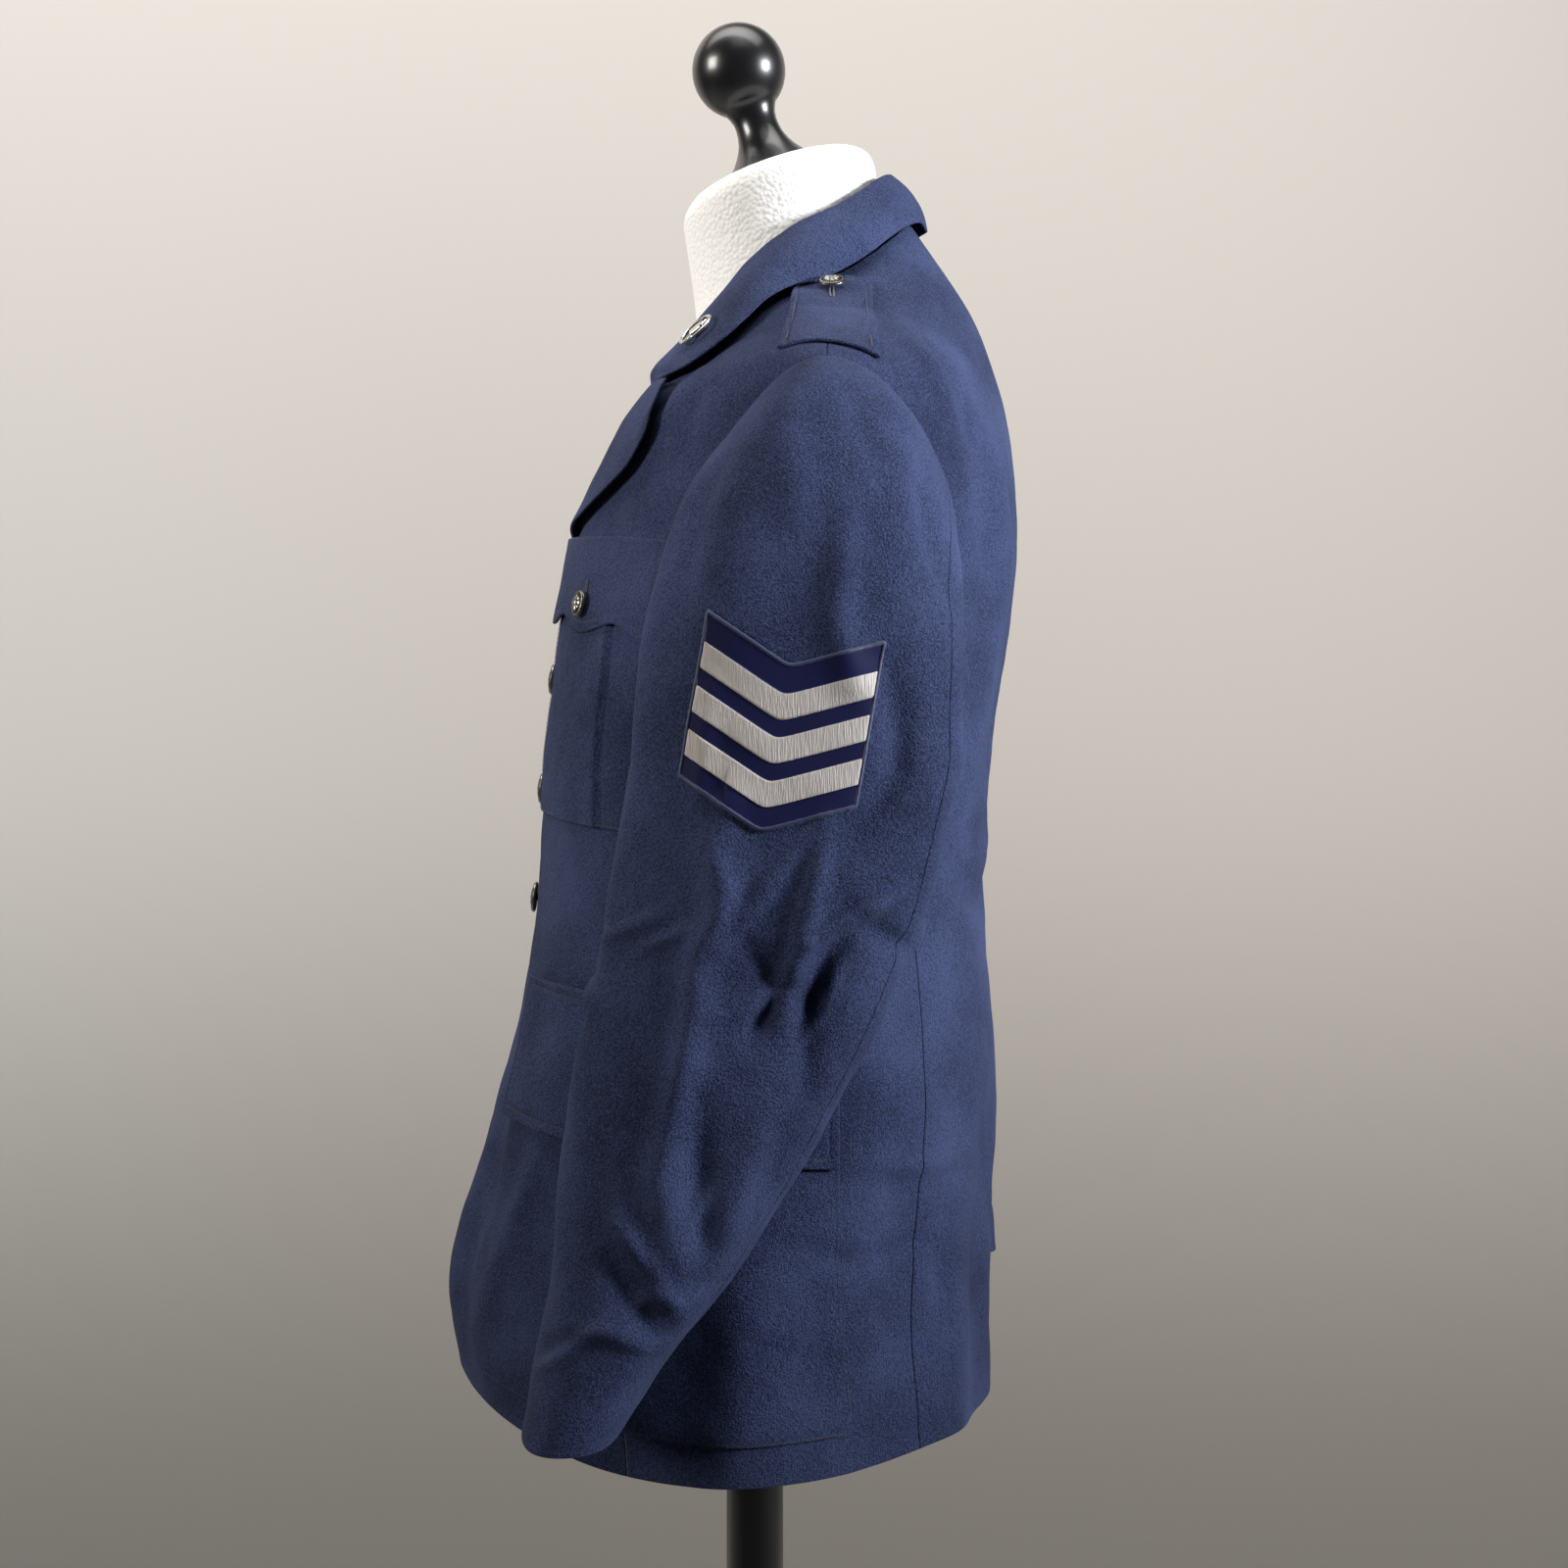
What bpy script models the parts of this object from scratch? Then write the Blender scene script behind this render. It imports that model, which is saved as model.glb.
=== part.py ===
"""A dark blue uniform coat on a limbless foam dress form with a turned finial, a pole and a round base.

Metres, +Z up. The coat's front faces -Y and its wearer's left is +X. The origin is on the floor under the pole.
A place on the coat is a turn and a level: the turn runs round it, in degrees from the centre front over the
wearer's left to 180 at the centre back, and the level counts the rows of COAT_LEVELS up from the hem.
"""

from collections import namedtuple

import bmesh
import bpy
import numpy as np

for old in list(bpy.data.objects):
    bpy.data.objects.remove(old, do_unlink=True)

WALL = 0.0018  # worsted with its lining
DOUBLE = 0.0024  # two layers turned and pressed: flaps, epaulets, patch pockets
SEAM = 0.0003  # gap between two pieces that are sewn edge to edge
LIE = 0.0008  # gap under a piece that lies on another
LAP = 0.018  # how far each front runs past the centre line
CORNER = 0.055  # radius of each front's lower corner
POLE_RADIUS = 0.0185
BASE_RADIUS = 0.180
BASE_HEIGHT = 0.030
BUTTON_HEIGHTS = (1.341, 1.270, 1.199, 1.128)
FRONT_BUTTON = 0.020
SMALL_BUTTON = 0.016

Level = namedtuple("Level", "z_front z_side z_back half_width y_front y_back roundness")
COAT_LEVELS = (
    Level(0.837, 0.800, 0.814, 0.190, -0.190, 0.153, 1.00),  # hem
    Level(0.893, 0.885, 0.888, 0.190, -0.194, 0.153, 1.00),
    Level(0.955, 0.950, 0.950, 0.191, -0.176, 0.155, 1.00),
    Level(1.015, 1.010, 1.010, 0.191, -0.161, 0.157, 0.95),  # hip
    Level(1.075, 1.070, 1.070, 0.187, -0.147, 0.152, 0.90),
    Level(1.135, 1.130, 1.130, 0.184, -0.139, 0.148, 0.88),  # waist
    Level(1.200, 1.195, 1.195, 0.188, -0.135, 0.150, 0.88),
    Level(1.265, 1.258, 1.262, 0.197, -0.1285, 0.158, 0.92),  # underarm
    Level(1.325, 1.320, 1.325, 0.204, -0.1205, 0.168, 0.99),  # chest
    Level(1.378, 1.385, 1.385, 0.210, -0.110, 0.1695, 1.08),
    Level(1.420, 1.438, 1.437, 0.216, -0.0915, 0.163, 1.18),  # shoulder tip
    Level(1.452, 1.474, 1.503, 0.150, -0.070, 0.1425, 1.15),
    Level(1.478, 1.512, 1.565, 0.082, -0.053, 0.101, 1.00),  # neckline
)
SHOULDER_TIP = 10.0
NECKLINE = 12.0

# The armhole is an oval of turns and levels, and the seams of the side panels run into it.
ARMHOLE_TURN, ARMHOLE_HALF_TURN = 95.0, 29.0
ARMHOLE_LEVEL, ARMHOLE_HALF_LEVEL = 8.5, 1.5
FRONT_SIDE_SEAM = 72.0
Seam = namedtuple("Seam", "level turn")
BACK_SIDE_SEAM = (Seam(0, 134), Seam(2, 132), Seam(5, 126), Seam(7.658, 119))

Roll = namedtuple("Roll", "level x")
ROLL_LINE = (
    Roll(8.38, -LAP),  # the break, where the front edge starts to turn back
    Roll(8.66, 0.012),
    Roll(9.10, 0.024),
    Roll(9.45, 0.030),
    Roll(9.85, 0.037),
    Roll(10.35, 0.042),
    Roll(10.90, 0.048),
    Roll(11.55, 0.056),
    Roll(12.00, 0.066),
)
# Across the lapel: the level where a line leaves the roll, and where it ends in the front view.
LapelRow = namedtuple("LapelRow", "roll_level edge_x edge_z")
LAPEL = (
    LapelRow(8.60, 0.018, 1.3570),
    LapelRow(8.80, 0.058, 1.3620),
    LapelRow(9.20, 0.106, 1.3725),
    LapelRow(9.65, 0.137, 1.3865),
    LapelRow(10.10, 0.150, 1.4010),
    LapelRow(10.50, 0.151, 1.4170),
    LapelRow(10.90, 0.139, 1.4370),
)
NOTCH_SHARE = 0.66  # the collar meets the lapel's top edge over this share of it
# From the notch to the centre back: the roll at the collar's top, and the leaf's edge in the top view.
CollarRow = namedtuple("CollarRow", "roll_x roll_y roll_z edge_x edge_y")
COLLAR = (
    CollarRow(0.054, -0.0640, 1.4635, 0.143, -0.0365),
    CollarRow(0.062, -0.039, 1.488, 0.147, -0.022),
    CollarRow(0.074, -0.008, 1.523, 0.131, -0.001),
    CollarRow(0.078, 0.012, 1.539, 0.108, 0.020),
    CollarRow(0.077, 0.032, 1.552, 0.092, 0.047),
    CollarRow(0.068, 0.053, 1.564, 0.077, 0.068),
    CollarRow(0.052, 0.072, 1.579, 0.058, 0.083),
    CollarRow(0.027, 0.086, 1.593, 0.030, 0.098),
    CollarRow(0.000, 0.091, 1.598, 0.000, 0.106),
)
COLLAR_PLACES = np.linspace(0, len(COLLAR) - 1, 13)
LEAF_LIFT = 0.0075
FLAP_LIFT = 0.0042  # the chest flap over the panel, clear of the pleated pocket
POCKET_WALL = 0.0016
PLEAT_RISE = 0.0016
FORM_FOOT = 0.900

# Level sections of a sleeve below its cap: reach forward, back, towards the body and away from it.
SleeveRow = namedtuple("SleeveRow", "z y_front y_back x_in x_out")
LEFT_SLEEVE = (
    SleeveRow(1.215, -0.064, 0.117, 0.204, 0.286),
    SleeveRow(1.150, -0.076, 0.102, 0.202, 0.288),
    SleeveRow(1.095, -0.085, 0.082, 0.202, 0.289),
    SleeveRow(1.042, -0.097, 0.056, 0.204, 0.291),
    SleeveRow(0.989, -0.104, 0.027, 0.203, 0.294),
    SleeveRow(0.936, -0.108, -0.008, 0.202, 0.299),
    SleeveRow(0.890, -0.117, -0.044, 0.197, 0.302),
    SleeveRow(0.850, -0.124, -0.070, 0.193, 0.303),
)
RIGHT_SLEEVE = (
    SleeveRow(1.215, -0.062, 0.117, 0.204, 0.286),
    SleeveRow(1.150, -0.060, 0.112, 0.202, 0.287),
    SleeveRow(1.095, -0.050, 0.112, 0.203, 0.287),
    SleeveRow(1.042, -0.034, 0.122, 0.204, 0.284),
    SleeveRow(0.989, -0.010, 0.140, 0.206, 0.281),
    SleeveRow(0.936, 0.018, 0.160, 0.207, 0.276),
    SleeveRow(0.890, 0.040, 0.175, 0.208, 0.272),
    SleeveRow(0.850, 0.050, 0.180, 0.208, 0.269),
)
# Degrees round the sleeve from its outer side, over the front.
FRONT_SLEEVE_SEAM, BACK_SLEEVE_SEAM = 118.0, -64.0
SLEEVE_LENGTH = len(LEFT_SLEEVE)  # rows: 0 at the armhole, 1 at the first level section, then one a row

# Each large fold runs between two places of the side view (a is y) or the front or back view (a is x).
Fold = namedtuple("Fold", "view a0 z0 a1 z1 half_width height")
BODY_FOLDS = (
    Fold("front", 0.046, 1.000, 0.040, 0.860, 0.022, 0.005),
    Fold("front", 0.074, 0.990, 0.078, 0.850, 0.016, -0.004),
    Fold("side", -0.010, 0.930, -0.015, 0.815, 0.042, 0.006),
    Fold("side", 0.090, 0.990, 0.092, 0.820, 0.018, -0.006),
    Fold("side", 0.118, 0.950, 0.122, 0.825, 0.016, 0.006),
    Fold("back", 0.060, 1.010, 0.075, 0.825, 0.022, -0.006),
    Fold("back", 0.095, 1.390, 0.100, 1.270, 0.018, 0.007),
    Fold("back", 0.125, 1.380, 0.122, 1.280, 0.014, -0.006),
)
SLEEVE_FOLDS = (
    Fold("side", -0.035, 1.130, -0.052, 0.960, 0.016, 0.006),
    Fold("side", 0.052, 1.115, 0.022, 1.050, 0.014, -0.007),
    Fold("side", 0.020, 1.145, -0.010, 1.080, 0.014, 0.005),
    Fold("side", 0.084, 1.255, 0.078, 1.200, 0.012, -0.006),
    Fold("side", 0.064, 1.140, 0.034, 1.115, 0.013, 0.006),
    Fold("side", -0.080, 1.110, -0.050, 1.135, 0.012, 0.004),
    Fold("side", -0.100, 0.945, -0.060, 0.890, 0.014, -0.005),
    Fold("side", 0.020, 1.380, 0.030, 1.330, 0.025, 0.004),
)

COLOURS = {  # base colour, roughness, metallic
    "cloth": ((0.035, 0.045, 0.110, 1), 0.85, 0.0),
    "foam": ((0.62, 0.61, 0.60, 1), 0.80, 0.0),
    "black": ((0.012, 0.012, 0.014, 1), 0.25, 0.0),
    "metal": ((0.42, 0.41, 0.38, 1), 0.35, 1.0),
    "thread": ((0.60, 0.60, 0.62, 1), 0.60, 0.0),
}


def material(name):
    found = bpy.data.materials.get(name)
    if found:
        return found
    made = bpy.data.materials.new(name)
    made.use_nodes = True
    shader = made.node_tree.nodes["Principled BSDF"]
    colour, roughness, metallic = COLOURS[name]
    shader.inputs["Base Color"].default_value = colour
    shader.inputs["Roughness"].default_value = roughness
    shader.inputs["Metallic"].default_value = metallic
    return made


def smooth(low, high, x):
    share = np.clip((x - low) / (high - low), 0.0, 1.0)
    return share * share * (3 - 2 * share)


def through(rows, place):
    """The rows' columns at a place between them, on a smooth curve through every row."""
    rows = np.array(rows, float)
    place = np.clip(np.asarray(place, float), 0, len(rows) - 1)
    low = np.minimum(place.astype(int), len(rows) - 2)
    share = (place - low)[..., None]
    before = rows[np.maximum(low - 1, 0)]
    after = rows[np.minimum(low + 2, len(rows) - 1)]
    here, there = rows[low], rows[low + 1]
    leave = np.where((low > 0)[..., None], (there - before) / 2, there - here)
    arrive = np.where((low < len(rows) - 2)[..., None], (after - here) / 2, there - here)
    cube, square = share**3, share**2
    return (
        (2 * cube - 3 * square + 1) * here
        + (cube - 2 * square + share) * leave
        + (3 * square - 2 * cube) * there
        + (cube - square) * arrive
    )


def coat(turn, level):
    """Points of the coat's outer surface, without its folds."""
    turn, level = np.broadcast_arrays(np.asarray(turn, float), np.asarray(level, float))
    columns = np.moveaxis(through(COAT_LEVELS, level), -1, 0)
    z_front, z_side, z_back, half, y_front, y_back, roundness = columns
    sine, cosine = np.sin(np.radians(turn)), np.cos(np.radians(turn))
    x = half * np.sign(sine) * np.abs(sine) ** roundness
    y = (y_front + y_back) / 2 - (y_back - y_front) / 2 * np.sign(cosine) * np.abs(cosine) ** roundness
    ahead, behind = np.maximum(cosine, 0) ** 2, np.minimum(cosine, 0) ** 2
    z = z_front * ahead + z_side * sine**2 + z_back * behind
    return np.stack([x, y, z], -1)


def sleeve(rows, around, down):
    """Points of a sleeve's outer surface. It leaves the armhole at 0 and its cap ends at 1."""
    around, down = np.broadcast_arrays(np.asarray(around, float), np.asarray(down, float))
    sine, cosine = np.sin(np.radians(around)), np.cos(np.radians(around))

    def section(place):
        z, y_front, y_back, x_in, x_out = np.moveaxis(through(rows, place), -1, 0)
        x = (x_in + x_out) / 2 + (x_out - x_in) / 2 * np.sign(cosine) * np.abs(cosine) ** 0.9
        y = (y_front + y_back) / 2 - (y_back - y_front) / 2 * np.sign(sine) * np.abs(sine) ** 0.9
        return np.stack([x, y, z + 0 * x], -1)

    # Its edge stands on the panels, and at the shoulder tip the whole wall lies over them.
    start, out = on(coat, *armhole(around, 1.03), 3.5 * SEAM + WALL * smooth(0.2, 0.9, cosine))
    bicep = section(np.zeros_like(down))
    span = np.linalg.norm(bicep - start, axis=-1, keepdims=True)
    # The top of the cap falls away along the shoulder's slope.
    fall = np.stack([0.55 + 0 * cosine, 0 * cosine, -0.34 * np.maximum(cosine, 0)], -1)
    leave = start + (out * 0.35 + fall) * span * 0.40
    arrive = bicep + np.array([0, 0, 1]) * span * 0.45
    t = np.clip(down, 0, 1)[..., None]
    cap = (1 - t) ** 3 * start + 3 * (1 - t) ** 2 * t * leave + 3 * (1 - t) * t**2 * arrive + t**3 * bicep
    return np.where((down < 1)[..., None], cap, section(np.maximum(down - 1, 0)))


def left_sleeve(around, down):
    return sleeve(LEFT_SLEEVE, around, down)


def right_sleeve(around, down):
    return sleeve(RIGHT_SLEEVE, around, down)


def armhole(around, size=1.0):
    """Turn and level of the armhole's edge: 0 at the shoulder tip, 90 at its front, 180 under the arm."""
    turn = ARMHOLE_TURN - size * ARMHOLE_HALF_TURN * np.sin(np.radians(around))
    level = ARMHOLE_LEVEL + size * ARMHOLE_HALF_LEVEL * np.cos(np.radians(around))
    return turn, level


def normals(surface, u, v):
    step = 0.01
    along = surface(u + step * 10, v) - surface(u - step * 10, v)
    up = surface(u, v + step) - surface(u, v - step)
    across = np.cross(along, up)
    return across / np.maximum(np.linalg.norm(across, axis=-1, keepdims=True), 1e-12)


def on(surface, u, v, lift=0.0, folds=()):
    """Points a little above a surface, with its folds, and the way out of it there."""
    points, out = surface(u, v), normals(surface, u, v)
    side = np.where(points[..., 0] < 0, -1.0, 1.0)
    height = np.zeros(points.shape[:-1])
    for fold in folds:
        facing = {"side": out[..., 0] * side, "front": -out[..., 1], "back": out[..., 1]}[fold.view]
        a = points[..., 1] if fold.view == "side" else points[..., 0] * side
        run = np.array([fold.a1 - fold.a0, fold.z1 - fold.z0])
        from_start = np.stack([a - fold.a0, points[..., 2] - fold.z0], -1)
        share = np.clip(from_start @ run / (run @ run), 0, 1)
        away = np.linalg.norm(from_start - share[..., None] * run, axis=-1)
        height += fold.height * np.exp(-((away / fold.half_width) ** 2)) * smooth(0.0, 0.5, facing)
    return points + out * (np.asarray(lift) + height)[..., None], out


def find(surface, guess, axes, target):
    """Where on a surface two of a point's coordinates have the wanted values."""
    axes = list(axes)
    target = np.asarray(target, float)
    u, v = (np.broadcast_to(g, target.shape[:-1]).astype(float) for g in guess)
    for _ in range(25):
        here = surface(u, v)[..., axes]
        across = (surface(u + 0.01, v)[..., axes] - here) / 0.01
        up = (surface(u, v + 0.001)[..., axes] - here) / 0.001
        step = np.linalg.solve(np.stack([across, up], -1), (target - here)[..., None])[..., 0]
        u = u + np.clip(step[..., 0], -8, 8)
        v = np.clip(v + np.clip(step[..., 1], -0.4, 0.4), 0.0, NECKLINE - 0.01)
    return np.stack([u, v], -1)


def from_front(x, z):
    return find(coat, (40 if x > 0 else 3, 9.0 if z > 1.3 else 4.0), (0, 2), (x, z))


def from_side(y, z):
    return find(coat, (95, 3.0), (1, 2), (y, z))


def from_above(x, y):
    return find(coat, (90 + 500 * (y - 0.04), 11.8 - 8 * x), (0, 1), (x, y))


def turn_at(x, level):
    half, roundness = np.moveaxis(through(COAT_LEVELS, level), -1, 0)[[3, 6]]
    return np.sign(x) * np.degrees(np.arcsin(np.clip(np.abs(x) / half, 0, 1) ** (1 / roundness)))


def add(name, points, faces, finish, mirrored=False):
    points = np.array(points, float).reshape(-1, 3)
    if mirrored:
        points = points * np.array([-1, 1, 1])
    mesh = bpy.data.meshes.new(name)
    mesh.from_pydata(points.tolist(), [], faces)
    shape = bmesh.new()
    shape.from_mesh(mesh)
    bmesh.ops.recalc_face_normals(shape, faces=shape.faces)
    shape.to_mesh(mesh)
    shape.free()
    mesh.materials.append(material(finish))
    mesh.shade_smooth()
    mesh.set_sharp_from_angle(angle=np.radians(40))
    made = bpy.data.objects.new(name, mesh)
    bpy.context.scene.collection.objects.link(made)
    return made


def wall(name, outer, inner, finish="cloth", mirrored=False):
    """A closed wall between two grids of points."""
    rows, columns = outer.shape[:2]
    count = rows * columns
    index = np.arange(count).reshape(rows, columns)
    faces = []
    for r in range(rows - 1):
        for c in range(columns - 1):
            a, b, d, e = index[r, c], index[r, c + 1], index[r + 1, c + 1], index[r + 1, c]
            faces.append((a, b, d, e))
            faces.append((a + count, e + count, d + count, b + count))
    rim = list(index[0]) + list(index[1:, -1]) + list(index[-1, -2::-1]) + list(index[-2:0:-1, 0])
    for a, b in zip(rim, rim[1:] + rim[:1]):
        faces.append((a, a + count, b + count, b))
    faces = [tuple(int(i) for i in face) for face in faces]
    return add(name, np.concatenate([outer.reshape(-1, 3), inner.reshape(-1, 3)]), faces, finish, mirrored)


def sheet(name, surface, u, v, low, high, folds=(), finish="cloth", mirrored=False):
    """A wall over a surface, from the height low to the height high above it."""
    outer, _ = on(surface, u, v, high, folds)
    inner, _ = on(surface, u, v, low, folds)
    return wall(name, outer, inner, finish, mirrored)


def degrees_of(gap, level):
    return np.degrees(gap / through(COAT_LEVELS, level)[..., 3])


def rows_between(stops, counts):
    rows = [np.linspace(a, b, n, endpoint=False) for a, b, n in zip(stops, stops[1:], counts)]
    return np.append(np.concatenate(rows), stops[-1])


def armhole_half_turn(level):
    away = (level - ARMHOLE_LEVEL) / ARMHOLE_HALF_LEVEL
    return ARMHOLE_HALF_TURN * np.sqrt(np.clip(1 - away**2, 0, 1))


def meeting_level(turn):
    """The level at which a side seam runs into the armhole."""
    away = (turn - ARMHOLE_TURN) / ARMHOLE_HALF_TURN
    return ARMHOLE_LEVEL - ARMHOLE_HALF_LEVEL * np.sqrt(1 - away**2)


def back_side_seam(level):
    return np.interp(level, [s.level for s in BACK_SIDE_SEAM], [s.turn for s in BACK_SIDE_SEAM])


def roll_x(level):
    return np.interp(level, [r.level for r in ROLL_LINE], [r.x for r in ROLL_LINE])


FRONT_MEETS = float(meeting_level(FRONT_SIDE_SEAM))
BACK_MEETS = BACK_SIDE_SEAM[-1].level
LOW_ROWS = 13
ARMHOLE_ROWS = (8.0, 8.38, 8.68, 9.1, 9.5, 9.82)
SHOULDER_ROWS = (SHOULDER_TIP, 10.35, 10.7, 11.1, 11.55, NECKLINE)


def build_fronts():
    columns = np.array([0, 0.07, 0.14, 0.22, 0.31, 0.40, 0.51, 0.62, 0.74, 0.85, 0.93, 1.0])
    levels = np.concatenate([np.linspace(0, FRONT_MEETS, LOW_ROWS), ARMHOLE_ROWS, SHOULDER_ROWS])
    outer_turn = np.where(
        levels <= FRONT_MEETS + 1e-9,
        FRONT_SIDE_SEAM,
        np.where(levels < SHOULDER_TIP, ARMHOLE_TURN - armhole_half_turn(levels), ARMHOLE_TURN),
    )
    outer_turn = outer_turn - degrees_of(SEAM / 2, levels)
    edge_turn = turn_at(roll_x(levels), levels)
    turn = edge_turn[:, None] + (outer_turn - edge_turn)[:, None] * columns
    level = levels[:, None] + 0 * turn
    # The lower corner of each front is rounded off.
    from_edge = np.clip(coat(turn, level)[..., 0] + LAP, 0, CORNER)
    rise = 0.95 * (1 - np.sqrt(1 - (1 - from_edge / CORNER) ** 2))
    level = np.where(level < 1, level + (1 - level) * rise, level)
    sheet("front_left", coat, turn, level, -WALL, 0.0, BODY_FOLDS)
    # The right front passes under the left one at the centre.
    x = coat(turn, level)[..., 0]
    under = (WALL + 3 * LIE) * (1 - smooth(LAP + 0.002, LAP + 0.025, x)) * (1 - smooth(8.5, 9.2, level))
    sheet("front_right", coat, turn, level, -WALL - under, -under, BODY_FOLDS, mirrored=True)


def build_sides():
    columns = np.linspace(0, 1, 6)
    rows = np.linspace(0, 1, LOW_ROWS)
    for side, mirrored in (("left", False), ("right", True)):
        seam_level = np.outer(rows, FRONT_MEETS + (BACK_MEETS - FRONT_MEETS) * columns)
        low_turn = FRONT_SIDE_SEAM + degrees_of(SEAM / 2, seam_level[:, 0])
        high_turn = back_side_seam(seam_level[:, -1]) - degrees_of(SEAM / 2, seam_level[:, -1])
        turn = low_turn[:, None] + (high_turn - low_turn)[:, None] * columns
        top = meeting_level(np.clip(turn[-1], FRONT_SIDE_SEAM, BACK_SIDE_SEAM[-1].turn)) - 0.008
        level = np.outer(rows, top)
        level[:, 0], level[:, -1] = seam_level[:, 0], seam_level[:, -1]
        sheet("side_" + side, coat, turn, level, -WALL, 0.0, BODY_FOLDS, mirrored=mirrored)


def build_backs():
    columns = np.array([0, 0.12, 0.26, 0.42, 0.58, 0.74, 0.88, 1.0])
    levels = np.concatenate([np.linspace(0, BACK_MEETS, LOW_ROWS), ARMHOLE_ROWS, SHOULDER_ROWS])
    seam_turn = np.where(
        levels <= BACK_MEETS + 1e-9,
        back_side_seam(levels),
        np.where(levels < SHOULDER_TIP, ARMHOLE_TURN + armhole_half_turn(levels), ARMHOLE_TURN),
    )
    low_turn = seam_turn + degrees_of(SEAM / 2, levels)
    high_turn = 180 - degrees_of(SEAM, levels)
    turn = low_turn[:, None] + (high_turn - low_turn)[:, None] * columns
    level = levels[:, None] + 0 * turn
    for side, mirrored in (("left", False), ("right", True)):
        sheet("back_" + side, coat, turn, level, -WALL, 0.0, BODY_FOLDS, mirrored=mirrored)


def lapel_places():
    """Turns, levels and heights over the front: rows up the roll, columns out to the lapel's edge."""
    columns = np.array([0, 0.12, 0.3, 0.55, 0.8, 1.0])
    turn, level = [], []
    for row in LAPEL:
        start = np.array([turn_at(roll_x(row.roll_level), np.array(row.roll_level)), row.roll_level], float)
        end = from_front(row.edge_x, row.edge_z)
        line = start + (end - start) * columns[:, None]
        turn.append(line[:, 0])
        level.append(line[:, 1])
    lift = LIE + 0.0048 * smooth(0, 1.0, columns) * np.ones((len(LAPEL), 1))
    lift[0] = LIE + 0.0006 * columns
    return np.array(turn), np.array(level), lift


def build_lapels():
    turn, level, lift = lapel_places()
    for side, mirrored in (("left", False), ("right", True)):
        outer, _ = on(coat, turn, level, lift + WALL, BODY_FOLDS)
        inner, _ = on(coat, turn, level, lift, BODY_FOLDS)
        wall("lapel_" + side, outer, inner, mirrored=mirrored)


def half_collar():
    """The leaf's outer points: rows from the notch to the centre back, columns from the roll to the edge."""
    columns = np.linspace(0, 1, 5)
    turn, level, lift = lapel_places()
    gorge = np.stack([turn[-1], level[-1], lift[-1]], -1)
    shares = np.array([0, 0.12, 0.3, 0.55, 0.8, 1.0])
    first = np.stack([np.interp(columns * NOTCH_SHARE, shares, gorge[:, k]) for k in range(3)], -1)
    rows = [on(coat, first[:, 0], first[:, 1] + 0.045, first[:, 2] + WALL)[0]]
    for row in through(COLLAR, COLLAR_PLACES):
        roll = row[:3]
        edge, _ = on(coat, *from_above(row[3], row[4]), LEAF_LIFT)
        straight = roll + (edge - roll) * columns[:, None]
        away = np.array([roll[0], roll[1] - 0.02, 0.0])
        away = away / np.linalg.norm(away)
        bulge = 0.004 * np.sin(np.pi * columns)
        rows.append(straight + bulge[:, None] * (away + np.array([0, 0, 0.5])))
    return np.array(rows)


def whole_round(half):
    """Left half, centre back and right half of rows that end at the centre back."""
    return np.concatenate([half, half[-2::-1] * np.array([-1, 1, 1])])


def grid_out(points):
    along = np.gradient(points, axis=0)
    across = np.gradient(points, axis=1)
    out = np.cross(across, along)
    out = out / np.linalg.norm(out, axis=-1, keepdims=True)
    return out if out[len(out) // 2, :, 1].mean() > 0 else -out


def build_collar():
    leaf = whole_round(half_collar())
    wall("collar_leaf", leaf, leaf - grid_out(leaf) * WALL)
    # The stand begins where the roll has risen clear of the neckline.
    rolls = through(COLLAR, COLLAR_PLACES[3:])[:, :3]
    neck = COAT_LEVELS[-1]
    middle, reach = (neck.y_front + neck.y_back) / 2, (neck.y_back - neck.y_front) / 2
    turns = np.degrees(np.arctan2(rolls[:, 0] / neck.half_width, (rolls[:, 1] - middle) / -reach))
    foot = coat(turns, NECKLINE) + np.array([0, 0, LIE])
    inward = np.stack([-rolls[:, 0], 0.02 - rolls[:, 1], 0 * rolls[:, 0]], -1)
    inward = inward / np.linalg.norm(inward, axis=1, keepdims=True)
    top = rolls + inward * 0.0030 + np.array([0, 0, -0.0015])
    share = np.linspace(0, 1, 4)[:, None]
    half = np.array([f + (t - f) * share for f, t in zip(foot, top)])
    stand = whole_round(half)
    thick = np.concatenate([inward, inward[-2::-1] * np.array([-1, 1, 1])])
    wall("collar_stand", stand, stand + thick[:, None] * WALL)


def build_sleeves():
    downs = rows_between((0, 1, SLEEVE_LENGTH), (5, 11))
    for side, surface, mirrored in (("left", left_sleeve, False), ("right", right_sleeve, True)):
        gap = np.degrees(SEAM / 2 / 0.07)
        for piece, start, end, count in (
            ("top", BACK_SLEEVE_SEAM, FRONT_SLEEVE_SEAM, 13),
            ("under", FRONT_SLEEVE_SEAM, 360 + BACK_SLEEVE_SEAM, 10),
        ):
            around = np.linspace(start + gap, end - gap, count)
            u, v = np.meshgrid(around, downs)
            sheet(f"sleeve_{piece}_{side}", surface, u, v, -WALL, 0.0, SLEEVE_FOLDS, mirrored=mirrored)


def between(corners, across, up):
    """Places inside four corners: lower front, lower rear, upper front and upper rear."""
    lower_front, lower_rear, upper_front, upper_rear = (np.array(c, float) for c in corners)
    across, up = np.asarray(across)[..., None], np.asarray(up)[..., None]
    low = lower_front + (lower_rear - lower_front) * across
    high = upper_front + (upper_rear - upper_front) * across
    places = low + (high - low) * up
    return places[..., 0], places[..., 1]


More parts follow.
